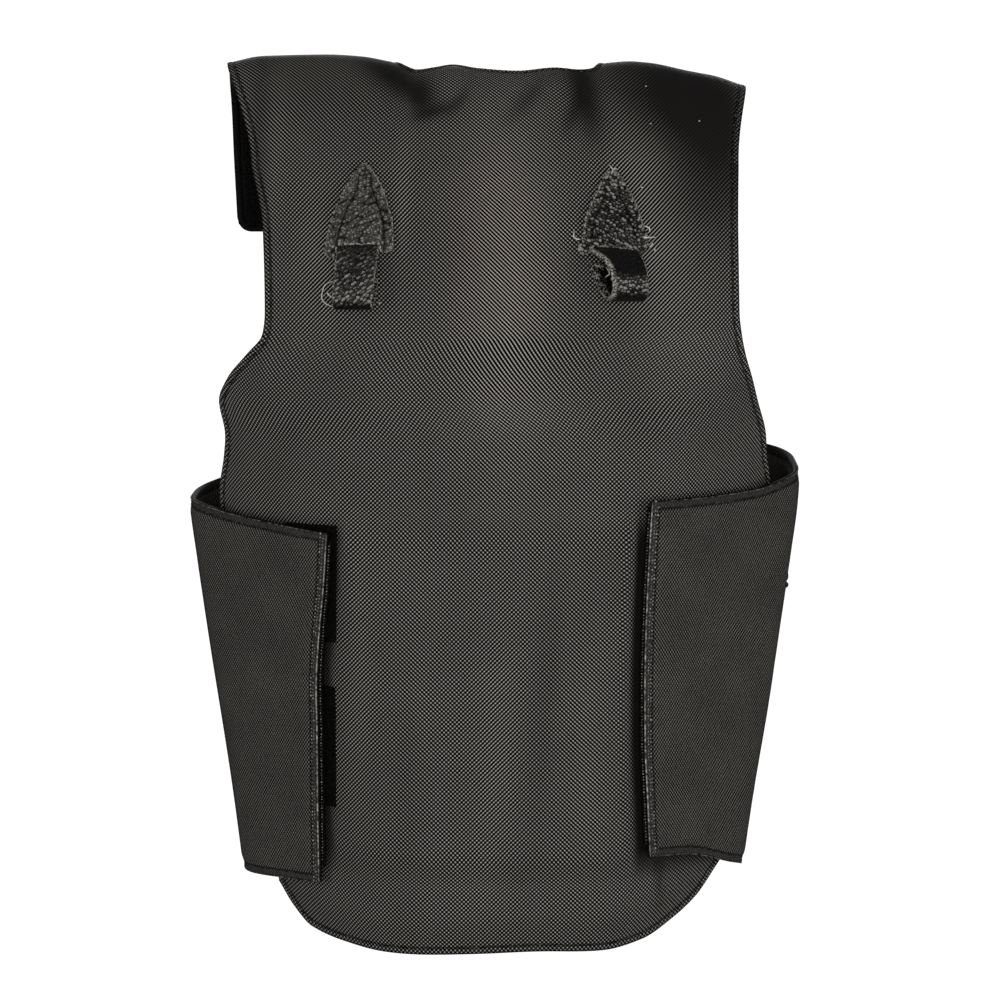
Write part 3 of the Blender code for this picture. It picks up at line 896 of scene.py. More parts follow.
def rise_rows(shares, steps):
    """Up the back from the shoulder line to the crown, or to the lower edge at the neck."""
    foot_x = across_back(SHOULDER_Z, shares)
    crown_x = across_back(BACK_EDGES["z"][-1], shares)
    foot = place(foot_x, back_y(foot_x, SHOULDER_Z), SHOULDER_Z)
    lean = back_y(foot_x, SHOULDER_Z + LOOK_AHEAD) - foot[:, 1]
    crown = crown_points(crown_x)
    up = unit(place(0.0, lean, LOOK_AHEAD)) * RISE_FOOT
    cut = smooth(NECK_EDGE, "share", crown_x)
    t = (steps[:, None] * cut)[..., None]
    return bezier(foot, foot + up, crown - np.array((0, RISE_CROWN, 0)), crown, t)


def over_rows(shares, steps):
    """Over the crown and down to the front strap."""
    t = steps[:, None]
    x = flap_x(shares, OVER_SHARE * t)
    start = crown_points(flap_x(shares, 0.0))
    end = on_front(x, strap_top(x), FLAP_AWAY)
    after = on_front(x, strap_top(x) - LOOK_AHEAD, FLAP_AWAY)
    down = unit(after - end) * OVER_END
    return bezier(start, start + np.array((0, OVER_CROWN, 0)), end - down, end, t[..., None])


def flap_rows(shares, steps):
    """Down the front, lying on the hook strips."""
    t = steps[:, None]
    x = flap_x(shares, mix(OVER_SHARE, 1.0, t))
    return on_front(x, mix(strap_top(x), flap_end(shares), t), FLAP_AWAY)


def back_pad(point):
    """Full padding on the body, thinner over the shoulders."""
    t = min(1.0, max(0.0, (point.z - SHOULDER_Z) / BACK_THINS))
    return STRAP_PAD if point.y > CROWN_Y else PAD + (STRAP_PAD - PAD) * t


# %% [markdown]
# With the rows joined to one grid, the back panel can be laid. Above the crown only the cells of the two
# flaps stay.

# %% The back panel
NECK_COLUMNS = (44, 90)
BODY_STEPS = 150
RISE_STEPS = 30

back_shares = joined(
    spaced(0.0, NECK_SHARES[0], NECK_COLUMNS[0], 0.6),
    spaced(NECK_SHARES[0], NECK_SHARES[1], NECK_COLUMNS[1] - NECK_COLUMNS[0], 0.3),
    spaced(NECK_SHARES[1], 1.0, 40, 0.6),
)


def back_points():
    body = body_rows(back_shares, spaced(0.0, 1.0, BODY_STEPS, 0.3))
    rise = rise_rows(back_shares, spaced(0.0, 1.0, RISE_STEPS, 0.3))
    over = over_rows(back_shares, spaced(0.0, 1.0, 16))
    flap = flap_rows(back_shares, spaced(0.0, 1.0, 32, 0.4))
    return np.concatenate((bulged(dented(body)), dented(rise)[1:], over[1:], flap[1:]))


def back_keep(row, column):
    """All of the back, and above the crown the two flaps only."""
    on_flap = column < NECK_COLUMNS[0] or column >= NECK_COLUMNS[1]
    return row < BODY_STEPS + RISE_STEPS or on_flap


back_grid = back_points()
back_panel = sheet(
    "back_cloth",
    back_grid,
    PAD,
    NYLON,
    hem_profile(back_pad, *BODY_HEM),
    back_keep,
    start=(BODY_STEPS, len(back_shares) // 2),
    marks=nylon_marks(back_grid),
)
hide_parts("back_panel")
print("back panel:", len(back_panel.data.polygons), "cells")

# %% [markdown]
# The front panel hides behind the back in this view. It is a plain padded piece with a round hem, a
# scooped neck and two straps, made in the same way.

# %% The front panel
FRONT_NECK_DEPTH = 38.0
FRONT_HEM_Z = -522.0
FRONT_HEM_RISE = 22.0
FRONT_STRAP_HALF = 145.0
FRONT_THIN_FROM = -130.0
FRONT_THINS = 25.0
SCOOP_SHARE = 4 / 11
FRONT_STREAK = 24.0
FRONT_LEAN = 0.12

FRONT_EDGES = table(
    "z half",
    (-540, 122),
    (-500, 132),
    (-400, 146),
    (-300, 154),
    (-240, 150),
    (-200, 136),
    (-160, 126),
    (-110, 128),
    (-60, 138),
    (-10, 148),
)

FRONT_COLUMNS = (36, 76)
FRONT_STEPS = 130


def front_points():
    shares = joined(
        spaced(-1.0, -SCOOP_SHARE, FRONT_COLUMNS[0], 0.6),
        spaced(-SCOOP_SHARE, SCOOP_SHARE, FRONT_COLUMNS[1] - FRONT_COLUMNS[0]),
        spaced(SCOOP_SHARE, 1.0, FRONT_COLUMNS[0], 0.6),
    )
    inside = np.minimum(1.0, np.abs(shares) / SCOOP_SHARE)
    top = FRONT_NECK_Z - FRONT_NECK_DEPTH * np.sqrt(1 - inside * inside)
    hem = FRONT_HEM_Z + FRONT_HEM_RISE * np.abs(shares) ** 5
    body = mix(hem, top, spaced(0.0, 1.0, FRONT_STEPS, 0.4)[:, None])
    high = strap_top(shares * FRONT_STRAP_HALF)
    strap = mix(FRONT_NECK_Z, high, spaced(0.0, 1.0, 28, 0.4)[:, None])
    z = np.concatenate((body, strap[1:]))
    x = shares * smooth(FRONT_EDGES, "half", z)
    return place(x, front_y(x, z), z)


def front_keep(row, column):
    return row < FRONT_STEPS or not FRONT_COLUMNS[0] <= column < FRONT_COLUMNS[1]


def front_pad(point):
    """Full padding on the chest, thinner up the straps."""
    t = min(1.0, max(0.0, (point.z - FRONT_THIN_FROM) / FRONT_THINS))
    return PAD + (STRAP_PAD - PAD) * t


front_grid = front_points()
front_lean = FRONT_LEAN * np.sin(front_grid[..., 0] / FRONT_STREAK)
front_panel = sheet(
    "front_cloth",
    front_grid,
    PAD,
    NYLON,
    hem_profile(front_pad, *BODY_HEM),
    front_keep,
    start=(FRONT_STEPS, sum(FRONT_COLUMNS) // 2),
    marks={"lean": front_lean, "crushed": 0 * front_lean},
)
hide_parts("front_panel")
print("front panel:", len(front_panel.data.polygons), "cells")

# %% [markdown]
# A wing is sewn under the front and pulled round the side, so it stands off the body there like a strap
# in tension and lies flat only where it meets the back. Its middle line is worked out at many heights,
# and the cloth's columns are shares of that line's length.

# %% Measures of the wings
WING_LAP = 30.0
WING_AWAY = PAD / 2 + GAP + LOOP + GAP + HOOK + GAP + WING / 2
LAP_AWAY = PAD / 2 + LAP_GAP + WING / 2
BACK_INSET = 6.0
LAP_INSET = 4.0
LAP_FROM_Z = -240.0
BACK_REACH = 0.45
FRONT_REACH = 0.42
PATH_STEPS = 40
WING_STREAK = 17.0
WING_LEAN = 0.35
WING_HEM = (3.2, 4.2, 0.7, 6.0)

WING_SIDES = table(
    "z left right y",
    (-510, 163, 155, -14),
    (-450, 171, 164, -10),
    (-406, 177.5, 172, -6),
    (-364, 184, 179, -3),
    (-305, 192, 188.5, 0),
    (-272, 196, 193.5, 2),
    (-240, 197, 195, 4),
)

WING_HEIGHTS = table(
    "share left_low left_high right_low right_high",
    (0.0, -504, -283, -484, -263),
    (0.12, -505, -280, -486, -262.5),
    (0.30, -507, -275, -498, -260),
    (0.42, -508, -270, -504, -253),
    (0.60, -507, -267, -504, -245),
    (0.80, -503, -258, -503, -239),
    (1.0, -500, -238, -500, -238),
)


print("the wings' ends are measured at", len(WING_ENDS["z"]), "heights")

# %% [markdown]
# Round the body the wing is a smooth path in four stretches: flat on the back, away from it to the side,
# home to the front, and the lap that lies on the front. The cloth is then laid along those paths.

# %% Paths and grids of the wings


def level(points, z):
    """The same points moved to a height."""
    points = points.copy()
    points[..., 2] = z
    return points


def wing_paths(name, side, z):
    """The wing's middle lines round the body, one for each height, from the back to the front."""
    z = z[:, None]
    end_x = smooth(WING_ENDS, name, z)
    edge_x = smooth(BACK_EDGES, name, z) - side * BACK_INSET
    lap_x = side * (smooth(FRONT_EDGES, "half", np.minimum(z, LAP_FROM_Z)) - LAP_INSET)
    side_x = side * (smooth(WING_SIDES, name, z) - WING / 2)
    side_y = smooth(WING_SIDES, "y", z)
    t = np.linspace(0.0, 1.0, PATH_STEPS)
    lying = level(on_back(mix(end_x, edge_x, t), z, WING_AWAY), z)
    leave = unit(lying[:, -1:] - lying[:, -2:-1])
    start = lying[:, -1:]
    middle = place(side_x, side_y, z)
    arrive = level(on_front(lap_x, z, LAP_AWAY), z)
    further = level(on_front(lap_x - side * LOOK_AHEAD, z, LAP_AWAY), z)
    inwards = unit(further - arrive)
    reach = np.linalg.norm(middle - start, axis=-1, keepdims=True) * BACK_REACH
    ahead = np.array((0.0, 1.0, 0.0))
    t = t[None, :, None]
    away = bezier(start, start + leave * reach, middle - ahead * reach, middle, t)
    reach = np.linalg.norm(arrive - middle, axis=-1, keepdims=True) * FRONT_REACH
    home = bezier(middle, middle + ahead * reach, arrive - inwards * reach, arrive, t)
    lap = level(on_front(mix(lap_x, lap_x - side * WING_LAP, t[..., 0]), z, LAP_AWAY), z)
    return np.concatenate((lying, away[:, 1:], home[:, 1:], lap[:, 1:]), axis=1)


def wing_points(name, side, shares, steps):
    """Points on the wing, for shares of its length and steps up its height."""
    levels = np.linspace(-512.0, -236.0, 70)
    paths = wing_paths(name, side, levels)
    laid = np.array([along_line(path, shares * run_along(path)[-1]) for path in paths])
    low = smooth(WING_HEIGHTS, name + "_low", shares)
    high = smooth(WING_HEIGHTS, name + "_high", shares)
    z = mix(low, high, steps[:, None])
    points = np.zeros(z.shape + (3,))
    for column in range(len(shares)):
        for axis in range(3):
            points[:, column, axis] = np.interp(z[:, column], levels, laid[:, column, axis])
    return points


print("a wing's path has four stretches of", PATH_STEPS, "places")

# %% [markdown]
# Both wings are one sheet each, with a wavy lean, as hand-cut cloth never lies quite square.

# %% The wings
wing_grids = {}
for name, side in SIDES:
    points = wing_points(name, side, spaced(0.0, 1.0, 120, 0.5), spaced(0.0, 1.0, 92, 0.5))
    wing_grids[name] = points
    waves = np.sin(points[..., 2] / WING_STREAK) * np.cos(points[..., 0] / WING_STREAK)
    twill = {"lean": WING_LEAN * side * waves}
    profile = hem_profile(WING, *WING_HEM)
    wing = sheet("wing_cloth_" + name, points, WING, WING_CLOTH, profile, marks=twill)
    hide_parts("wing_" + name)
print("wings:", " and ".join(wing_grids))

# %% [markdown]
# Hook tape and loop tape are thin woven strips. The hook strips sit under the wings' ends and show as a
# thin edge. The loop patches on the back show beside the left wing, and they are what the hooks hold.

# %% Hook strips and loop patches
TAPE_WIDTH = 24.0
PATCH_AWAY = PAD / 2 + GAP + LOOP / 2
HOOK_AWAY = PAD / 2 + GAP + LOOP + GAP + HOOK / 2
TAPE_AWAY = STRAP_PAD / 2 + GAP + HOOK / 2
SHOULDER_HOOK_SHARES = (0.36, 0.97)
SHOULDER_HOOK_INSET = 5.0

HOOK_TAPES = table(
    "name side proud low high",
    ("left", -1, 0.3, -494, -288),
    ("right", 1, 0.1, -480, -267),
)

LOOP_PATCHES = table(
    "name first last low high",
    ("left_upper", -94.5, -126, -352, -279),
    ("left_lower", -95, -129, -456, -380),
    ("right_upper", 101, 134, -352, -277),
    ("right_lower", 101, 134, -456, -380),
)


def strip(name, first, last, z, away, thickness, material):
    """A flat strip that follows the back between two edges, which may change with height."""
    t = np.linspace(0.0, 1.0, 24)
    x = mix(np.asarray(first)[..., None], np.asarray(last)[..., None], t)
    points = bulged(level(on_back(x, z[:, None], away), z[:, None]))
    return sheet(name, points, thickness, material)


for name, side, proud, low, high in zip(*HOOK_TAPES.values()):
    z = np.linspace(low, high, 130)
    edge = smooth(WING_ENDS, name, z) - side * proud
    hooks = strip("hook_strip_" + name, edge, edge + side * TAPE_WIDTH, z, HOOK_AWAY, HOOK, HOOK_TAPE)
    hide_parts("hook_tape_" + name)

for name, first, last, low, high in zip(*LOOP_PATCHES.values()):
    z = np.linspace(low, high, 60)
    edge = np.full_like(z, first)
    patch = strip("loop_cloth_" + name, edge, edge + (last - first), z, PATCH_AWAY, LOOP, LOOP_TAPE)
    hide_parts("loop_patch_" + name)
print("tapes:", len(HOOK_TAPES["name"]), "hook strips and", len(LOOP_PATCHES["name"]), "loop patches")

# %% [markdown]
# Each flap is held down by one more strip of hook tape, which lies on the front strap. Only its dark edge
# shows, under the left flap.

# %% The closure under the shoulder flaps
for name in ("left", "right"):
    t = np.linspace(0.0, 1.0, 40)[:, None]
    down = mix(*SHOULDER_HOOK_SHARES, t)
    outer = smooth(FLAPS, name + "_outer", down)
    inner = smooth(FLAPS, name + "_inner", down)
    inwards = np.sign(inner - outer) * SHOULDER_HOOK_INSET
    x = mix(outer + inwards, inner - inwards, np.linspace(0.0, 1.0, 40))
    high = strap_top(x) - SHOULDER_HOOK_INSET
    points = on_front(x, mix(high, FLAP_END_Z + SHOULDER_HOOK_INSET, t), TAPE_AWAY)
    hooks = sheet("shoulder_strip_" + name, points, HOOK, HOOK_TAPE)
    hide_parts("shoulder_hook_" + name)
print("shoulder strips: 2, each", HOOK, "mm thick")

# %% [markdown]
# The leather tabs are cut by hand from pebbled hide: an arrowhead sewn to the back, and a narrower
# strap that loops out below it and comes back up behind itself. Both are grids again, because the two
# tabs lie differently and a table can say how. The pebbles are real relief: points are scattered over
# the hide, and the surface sinks along the borders halfway between each two of them.

# %% Pebble grain
PEBBLE_DEEP = 0.5
PEBBLE_STRAY = 0.45
PEBBLE_TALL = 0.58
PEBBLE_TILT = 1.7
TALL_SPAN = (0.1, 1.15)
PRESSED_DOWN = 0.6
CUT_THIN = 0.8
CUT_ROUND = 1.5
FRAYED = 1.6


def normals_of(points, facing):
    """The direction out of a grid of points at each of them, turned to one side at its middle."""
    across = np.gradient(points, axis=1)
    along = np.gradient(points, axis=0)
    normals = unit(np.cross(across, along) + 1e-9)
    middle = normals[points.shape[0] // 2, points.shape[1] // 2]
    return normals * np.sign(np.dot(middle, facing))


def pebbles(points, wide, high, turn, seed, slope=1.25, leaning=0.0):
    """Heights from 0 in the creases to 1 on the pebbles, for pebbles of one size and slant.

    Pressing can leave one long side of each pebble higher, by leaning, and the leather's painted highlight
    then falls on that side.
    """
    rng = random.Random(seed)
    u = lengths_along(points, 1, 2, 0)
    v = lengths_along(points, 0, 0, 0)
    c = math.cos(math.radians(turn))
    s = math.sin(math.radians(turn))
    across = (u * c + v * s) / wide
    along = (v * c - u * s) / high
    left = math.floor(across.min()) - 1
    right = math.ceil(across.max()) + 1
    low = math.floor(along.min()) - 1
    top = math.ceil(along.max()) + 1
    spots = [
        (i + rng.uniform(-PEBBLE_STRAY, PEBBLE_STRAY), j + rng.uniform(-PEBBLE_STRAY, PEBBLE_STRAY), 0.0)
        for i in range(left, right + 1)
        for j in range(low, top + 1)
    ]
    tree = KDTree(len(spots))
    for i, spot in enumerate(spots):
        tree.insert(spot, i)
    tree.balance()
    gaps = np.zeros(across.shape)
    sides = np.zeros(across.shape)
    for where in np.ndindex(across.shape):
        near, second = tree.find_n((across[where], along[where], 0.0), 2)
        gaps[where] = second[2] - near[2]
        sides[where] = along[where] - near[0].y
    tall = np.clip(PEBBLE_TALL + PEBBLE_TILT * leaning * sides, *TALL_SPAN) if leaning else 1.0
    return ease(gaps * slope) * tall


def hide(name, points, facing, relief, pressed=0.0, raw=0.0, flesh_first=False):
    """A piece of leather on a grid, with pebbles and pressed lines as relief.

    raw is how far a rough cut reaches in from the left edge, in millimetres. flesh_first says that the
    grid's own side is the one that faces the body.
    """
    relief = relief * (1 - pressed) - PRESSED_DOWN * pressed
    points = points + normals_of(points, facing) * (relief * PEBBLE_DEEP)[..., None]

    def cut_edge(inside, place_at):
        return LEATHER * mix(CUT_THIN, 1.0, min(1.0, inside / CUT_ROUND))

    frayed = ease(FRAYED - lengths_along(points, 1, 2, 0) / max(raw, 0.01))
    marks = {"pebble": np.clip(relief, 0.0, 1.2), "raw": frayed if raw else 0 * frayed}
    sides = (FLESH_SIDE, LEATHER_HIDE) if flesh_first else (LEATHER_HIDE, FLESH_SIDE)
    piece = sheet(name, points, LEATHER, sides[0], cut_edge, marks=marks)
    piece.data.materials.append(sides[1])
    solid = piece.modifiers["thickness"]
    solid.material_offset = 1
    solid.material_offset_rim = 1 if flesh_first else 0
    return piece


print("pebbles stand", PEBBLE_DEEP, "mm proud")

# %% [markdown]
# The arrowheads end in two barbs, with a notch between them where the strap comes out. The lower lip of
# the notch curls up over the strap. A line pressed by the sewing machine runs inside both slanted sides.

# %% Leather arrowheads
LIP_HIGH = 1.7
LIP_FADE = 5.0
SEAM_INSET = 4.6
SEAM_AT_TIP = 1.6
SEAM_LINE = 0.55
TIP_DROOP = 1.4
NOTCH_SPAN = (0.15, 0.85)
NOTCH_SOFT = 0.06
ROUND_TALL = 1.15
FINE_TALL = 1.05
FINE_SHARE = 0.45
WRINKLE_FLOOR = 0.1
TORN = {"left": 0.0, "right": 1.1}

LEFT_ARROWHEAD = table(
    "z left right",
    (-119, -101, -62.5),
    (-114, -102.8, -61.6),
    (-108, -101.8, -61),
    (-102, -100.6, -61.0),
    (-95.5, -98.9, -61.5),
    (-87, -95.6, -63.9),
    (-81.7, -93.1, -65.7),
    (-76, -90.2, -68),
    (-69.6, -86.4, -71.6),
    (-65, -83.2, -74.6),
    (-61.5, -80.2, -77.2),
)

RIGHT_ARROWHEAD = table(
    "z left right",
    (-119, 51.6, 90.5),
    (-114, 50.0, 91.8),
    (-109, 50.9, 92.3),
    (-104, 52.8, 91.6),
    (-96, 53.7, 88.6),
    (-88.3, 56.6, 86.2),
    (-79.5, 60.7, 81.9),
    (-75.3, 62.9, 79.4),
    (-70.5, 65.6, 76.4),
    (-66, 69.0, 73.0),
)

NOTCHES = table(
    "share left right",
    (0.0, -115.0, -113.6),
    (0.05, -118.0, -115.4),
    (0.11, -117.8, -115.6),
    (0.17, -115.8, -114.4),
    (0.20, -110.8, -111.4),
    (0.5, -110.0, -112.0),
    (0.78, -109.8, -113.6),
    (0.82, -114.0, -114.6),
    (0.93, -114.6, -114.4),
    (1.0, -112.0, -111.0),
)

ARROWHEADS = {"left": LEFT_ARROWHEAD, "right": RIGHT_ARROWHEAD}
FINE_GRAIN = (1.9, 1.4, 25, 3)
WRINKLES = (15.0, 3.8, 38, 11, 6.0)
ROUND_GRAIN = (2.8, 1.5, -25, 8, 2.2, 0.8)


def arrowhead_points(name):
    outline = ARROWHEADS[name]
    share = spaced(0.0, 1.0, 84, 0.3)
    step = spaced(0.0, 1.0, 96, 0.3)[:, None]
    tip = outline["z"][-1] - TIP_DROOP * (2 * share - 1) ** 2
    z = mix(smooth(NOTCHES, name, share), tip, step)
    x = mix(smooth(outline, "left", z), smooth(outline, "right", z), share)
    in_notch = ease((share - NOTCH_SPAN[0]) / NOTCH_SOFT) * ease((NOTCH_SPAN[1] - share) / NOTCH_SOFT)
    lip = LIP_HIGH * in_notch * np.exp(-(step * (tip - z[0])) / LIP_FADE)
    return on_back(x, z, PAD / 2 + GAP + LEATHER / 2 + lip)


def pressed_seam(name, points):
    """1 along the sewn line inside both slanted sides, and 0 away from it."""
    outline = ARROWHEADS[name]
    x = points[..., 0]
    z = points[..., 2]
    gaps = (x - smooth(outline, "left", z), smooth(outline, "right", z) - x)
    inset = SEAM_INSET * ease((outline["z"][-1] - 3 - z) / 12) + SEAM_AT_TIP
    near = [np.exp(-((gap - inset) / SEAM_LINE) ** 2) for gap in gaps]
    return np.clip(near[0] + near[1], 0.0, 1.0)


def arrowhead_relief(name, points):
    """The left tab is nearly smooth with fine slanting wrinkles, and the right one is well pebbled."""
    if name == "right":
        return ROUND_TALL * pebbles(points, *ROUND_GRAIN)
    fine = mix(FINE_TALL, pebbles(points, *FINE_GRAIN), FINE_SHARE)
    return fine * mix(WRINKLE_FLOOR, 1.0, pebbles(points, *WRINKLES))


for name, side in SIDES:
    points = arrowhead_points(name)
    relief = arrowhead_relief(name, points)
    seam = pressed_seam(name, points)
    arrowhead = hide("leather_arrowhead_" + name, points, (0, -1, 0), relief, seam, TORN[name])
    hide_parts("leather_patch_" + name)
print("leather arrowheads:", len(ARROWHEADS))

# %% [markdown]
# A strap comes out from under the lip, bends down into a loop and goes back up behind itself. The left
# one hangs nearly straight. The right one is twisted, so its cut edge and the inside of the loop, dark
# with painted shade, show on one side, and it juts out further.

# %% Leather straps
STRAP_REST = 1.7
STRAP_TORN = {"left": 0.0, "right": 2.2}

LEFT_STRAP = table(
    "along away z slide turn wide",
    (0.0, 1.4, -107.0, 0.0, 0, 25.5),
    (0.06, 2.0, -111.5, 0.0, 0, 25.5),
    (0.16, 5.2, -117.5, 0.2, -1, 25.2),
    (0.28, 8.6, -126.0, 0.3, -3, 24.8),
    (0.40, 10.6, -136.0, -0.3, -4, 24.2),
    (0.50, 10.2, -143.5, -1.2, -4, 23.6),
    (0.58, 7.4, -147.4, -1.4, -3, 23.4),
    (0.66, 4.0, -146.6, -1.6, -1, 23.6),
    (0.76, 1.9, -141.0, -1.0, 0, 24.0),
    (0.88, STRAP_REST, -132.0, 0.0, 0, 24.4),
    (1.0, STRAP_REST, -123.0, 0.0, 0, 24.4),
)

RIGHT_STRAP = table(
    "along away z slide turn wide",
    (0.0, 1.4, -108.0, 0.0, 0, 27.0),
    (0.06, 2.6, -112.5, -2.0, 3, 29.6),
    (0.16, 8.0, -116.5, -1.4, 10, 28.0),
    (0.28, 13.4, -122.0, -0.8, 19, 25.6),
    (0.38, 15.6, -129.0, -0.4, 24, 24.8),
    (0.47, 15.4, -136.0, 0.2, 25, 24.4),
    (0.56, 12.0, -141.4, 2.0, 22, 24.0),
    (0.66, 6.8, -142.6, 3.4, 14, 23.6),
    (0.78, 2.6, -137.0, 1.2, 6, 23.6),
    (0.90, STRAP_REST, -129.0, -2.0, 0, 23.6),
    (1.0, STRAP_REST, -121.0, -4.5, 0, 23.6),
)

STRAPS = {"left": (LEFT_STRAP, -82.7), "right": (RIGHT_STRAP, 73.0)}


def strap_points(name):
    route, middle = STRAPS[name]
    at = spaced(0.0, 1.0, 170)[:, None]
    away, z, slide, turn, wide = (smooth(route, key, at) for key in list(route)[1:])
    turn = np.radians(turn)
    across = spaced(-0.5, 0.5, 46, 0.3) * wide
    x = middle + slide + across * np.cos(turn) + away * np.sin(turn)
    return on_back(x, z + 0 * x, PAD / 2 + away * np.cos(turn) - across * np.sin(turn))


STRAP_GRAINS = {
    "left": (3.4, 1.6, -34, 21, 3.6, -0.6),
    "right": (2.2, 1.6, -15, 34, 3.0, -0.8),
}

# How deep the pebbles are along each strap, which also sets its painted light: deep and bright round the
# loop's bend, shallow and dark with painted shade elsewhere, most of all where the strap goes back up.
STRAP_DEPTH_AND_PAINTED_LIGHT = table(
    "along left right",
    (0.0, 0.5, 0.35),
    (0.08, 0.8, 0.4),
    (0.18, 1.0, 0.4),
    (0.36, 1.1, 0.4),
    (0.41, 1.15, 0.95),
    (0.47, 1.3, 1.2),
    (0.51, 1.3, 1.0),
    (0.55, 0.4, 0.35),
    (0.6, 0.2, 0.2),
    (1.0, 0.2, 0.2),
)

for name, side in SIDES:
    points = strap_points(name)
    depth_and_painted_light = smooth(STRAP_DEPTH_AND_PAINTED_LIGHT, name, np.linspace(0.0, 1.0, points.shape[0]))[:, None]
    relief = pebbles(points, *STRAP_GRAINS[name]) * depth_and_painted_light
    strap_piece = hide("leather_strap_" + name, points, (0, -1, 0), relief, 0.0, STRAP_TORN[name], True)
    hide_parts("leather_loop_" + name)
print("leather straps:", len(STRAPS))

# %% [markdown]
# Thread holds the vest together, and it is what the eye reads as sewn. A row of stitches follows a line
# a little inside an edge of the cloth. Each stitch is one small bead of thread, and there are many
# hundreds, so each has only a few faces. Folded edges and loose threads are thin tubes: a grid rolled
# up along a path, with its ends drawn together.

# %% Lines, stitches and tubes


def inset_line(points, edge, inset):
    """The line that runs a distance inside one edge of a grid of points."""
    ways = {
        "low": points.swapaxes(0, 1),
        "high": points[::-1].swapaxes(0, 1),
        "left": points,
        "right": points[:, ::-1],
    }
    return np.array([along_line(way, inset) for way in ways[edge]])


def bead():
    """One stitch of thread, a unit in radius, to be stretched and laid in place."""
    bm = bmesh.new()
    bmesh.ops.create_uvsphere(bm, u_segments=6, v_segments=4, radius=1.0)
    mesh = bpy.data.meshes.new("bead")
    bm.to_mesh(mesh)
    bm.free()
    return mesh


BEAD = bead()


def sew(bm, line, pitch, length, radius, seed):
    """A row of stitches along a line in millimetres, none quite like the next."""
    rng = random.Random(seed)
    at = np.arange(pitch / 2, run_along(line)[-1], pitch)
    ways = along_line(line, at + 0.5) - along_line(line, at - 0.5)
    for middle, way in zip(along_line(line, at), ways):
        long = length * rng.uniform(0.7, 1.2) / 2
        thick = radius * rng.uniform(0.8, 1.2)
        shift = Vector([rng.uniform(-0.2, 0.2) for axis in range(3)])
        turn = Vector(way).to_track_quat("X", "Z").to_matrix().to_4x4()
        size = Matrix.Diagonal((long * MM, thick * MM, thick * MM, 1.0))
        stitch = BEAD.copy()
        stitch.transform(Matrix.Translation((Vector(middle) + shift) * MM) @ turn @ size)
        bm.from_mesh(stitch)
        bpy.data.meshes.remove(stitch)


def tube(bm, path, radius, sides=6, blunt=0.12):
    """A thread along a path in millimetres, drawn to a point at both ends."""
    steps = len(path) - 1
    made = bmesh.ops.create_grid(bm, x_segments=steps, y_segments=sides, size=0.5)["verts"]
    ways = unit(np.gradient(path, axis=0) + 1e-9)
    reference = np.eye(3)[np.argmin(np.abs(ways).mean(axis=0))]
    first = unit(np.cross(ways, reference))
    second = np.cross(ways, first)
    for vertex in made:
        i = round((vertex.co.x + 0.5) * steps)
        angle = 2 * math.pi * round((vertex.co.y + 0.5) * sides) / sides
        share = i / steps
        thick = radius * math.sqrt(min(1.0, min(share, 1 - share) / blunt))
        vertex.co = (path[i] + (first[i] * math.cos(angle) + second[i] * math.sin(angle)) * thick) * MM
    bmesh.ops.remove_doubles(bm, verts=made, dist=1e-6)


def smooth_path(points, steps=24):
    """A path that runs softly through a few points."""
    points = np.array(points, float)
    at = np.arange(len(points))
    columns = {"at": at, "x": points[:, 0], "y": points[:, 1], "z": points[:, 2]}
    t = np.linspace(0, len(points) - 1, steps)
    return np.stack([smooth(columns, key, t) for key in "xyz"], axis=-1)


def thread_piece(name, bm, material):
    """Stitches or threads as a piece that rides on the vest."""
    bmesh.ops.recalc_face_normals(bm, faces=bm.faces)
    piece = linked(name, finished_mesh(name, bm, material))
    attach(piece, "root")
    print(name + ":", len(piece.data.polygons), "faces")


print("a bead of thread has", len(BEAD.polygons), "faces")

# %% [markdown]
# The panels are turned and topstitched, so a row of small dark stitches runs all round them, in the
# groove that the thread has pulled into the padding.

# %% Stitches round the panels
SEAM = 4.2
SEAM_HALF = 0.95
BODY_STITCH = (3.2, 2.2, 0.42)

out = back_grid + normals_of(back_grid, (0, -1, 0)) * SEAM_HALF
crown_row = BODY_STEPS + RISE_STEPS
back_rows = (
    (out, "low"),
    (out, "left"),
    (out, "right"),
    (out[:crown_row + 1, NECK_COLUMNS[0]:NECK_COLUMNS[1] + 1], "high"),
    (out[crown_row:, :NECK_COLUMNS[0] + 1], "right"),
    (out[crown_row:, NECK_COLUMNS[1]:], "left"),
)
bm = bmesh.new()
for i, (grid, edge) in enumerate(back_rows):
    sew(bm, inset_line(grid, edge, SEAM), *BODY_STITCH, i)
thread_piece("back_stitches", bm, THREAD)

out = front_grid + normals_of(front_grid, (0, 1, 0)) * SEAM_HALF
bm = bmesh.new()
for i, edge in enumerate(("low", "left", "right")):
    sew(bm, inset_line(out, edge, SEAM), *BODY_STITCH, 10 + i)
thread_piece("front_stitches", bm, THREAD)

# %% [markdown]
# The wings' hems are folded over and worn. Two rows of pale stitches run up each end on the back, the
# folded edge beside them is rubbed bare, and a knot of thread sticks out of the right wing's side.

# %% Stitches and folded edges of the wings
WING_SEAM_HALF = 1.35
FOLD_HALF = 1.5
HEM_STITCH = (2.6, 1.9, 0.4)
HEM_INSET = 4.6
LIP_INSET = 0.4
LIP_STEPS = 160
FOLD_INSET = 0.3
END_ROWS = ((2.6, 2.0, 1.3, 0.5, 30), (4.4, 2.3, 1.4, 0.5, 40))
KNOT_RADIUS = 1.1
LIP_RADIUS = 0.35
FOLD_RADIUS = 0.45

KNOT = (
    (186.4, -4, -316),
    (188.6, -4, -319),
    (188.8, -5, -323),
    (187.2, -5, -326),
    (189.2, -4, -328),
    (186, -4, -331),
)

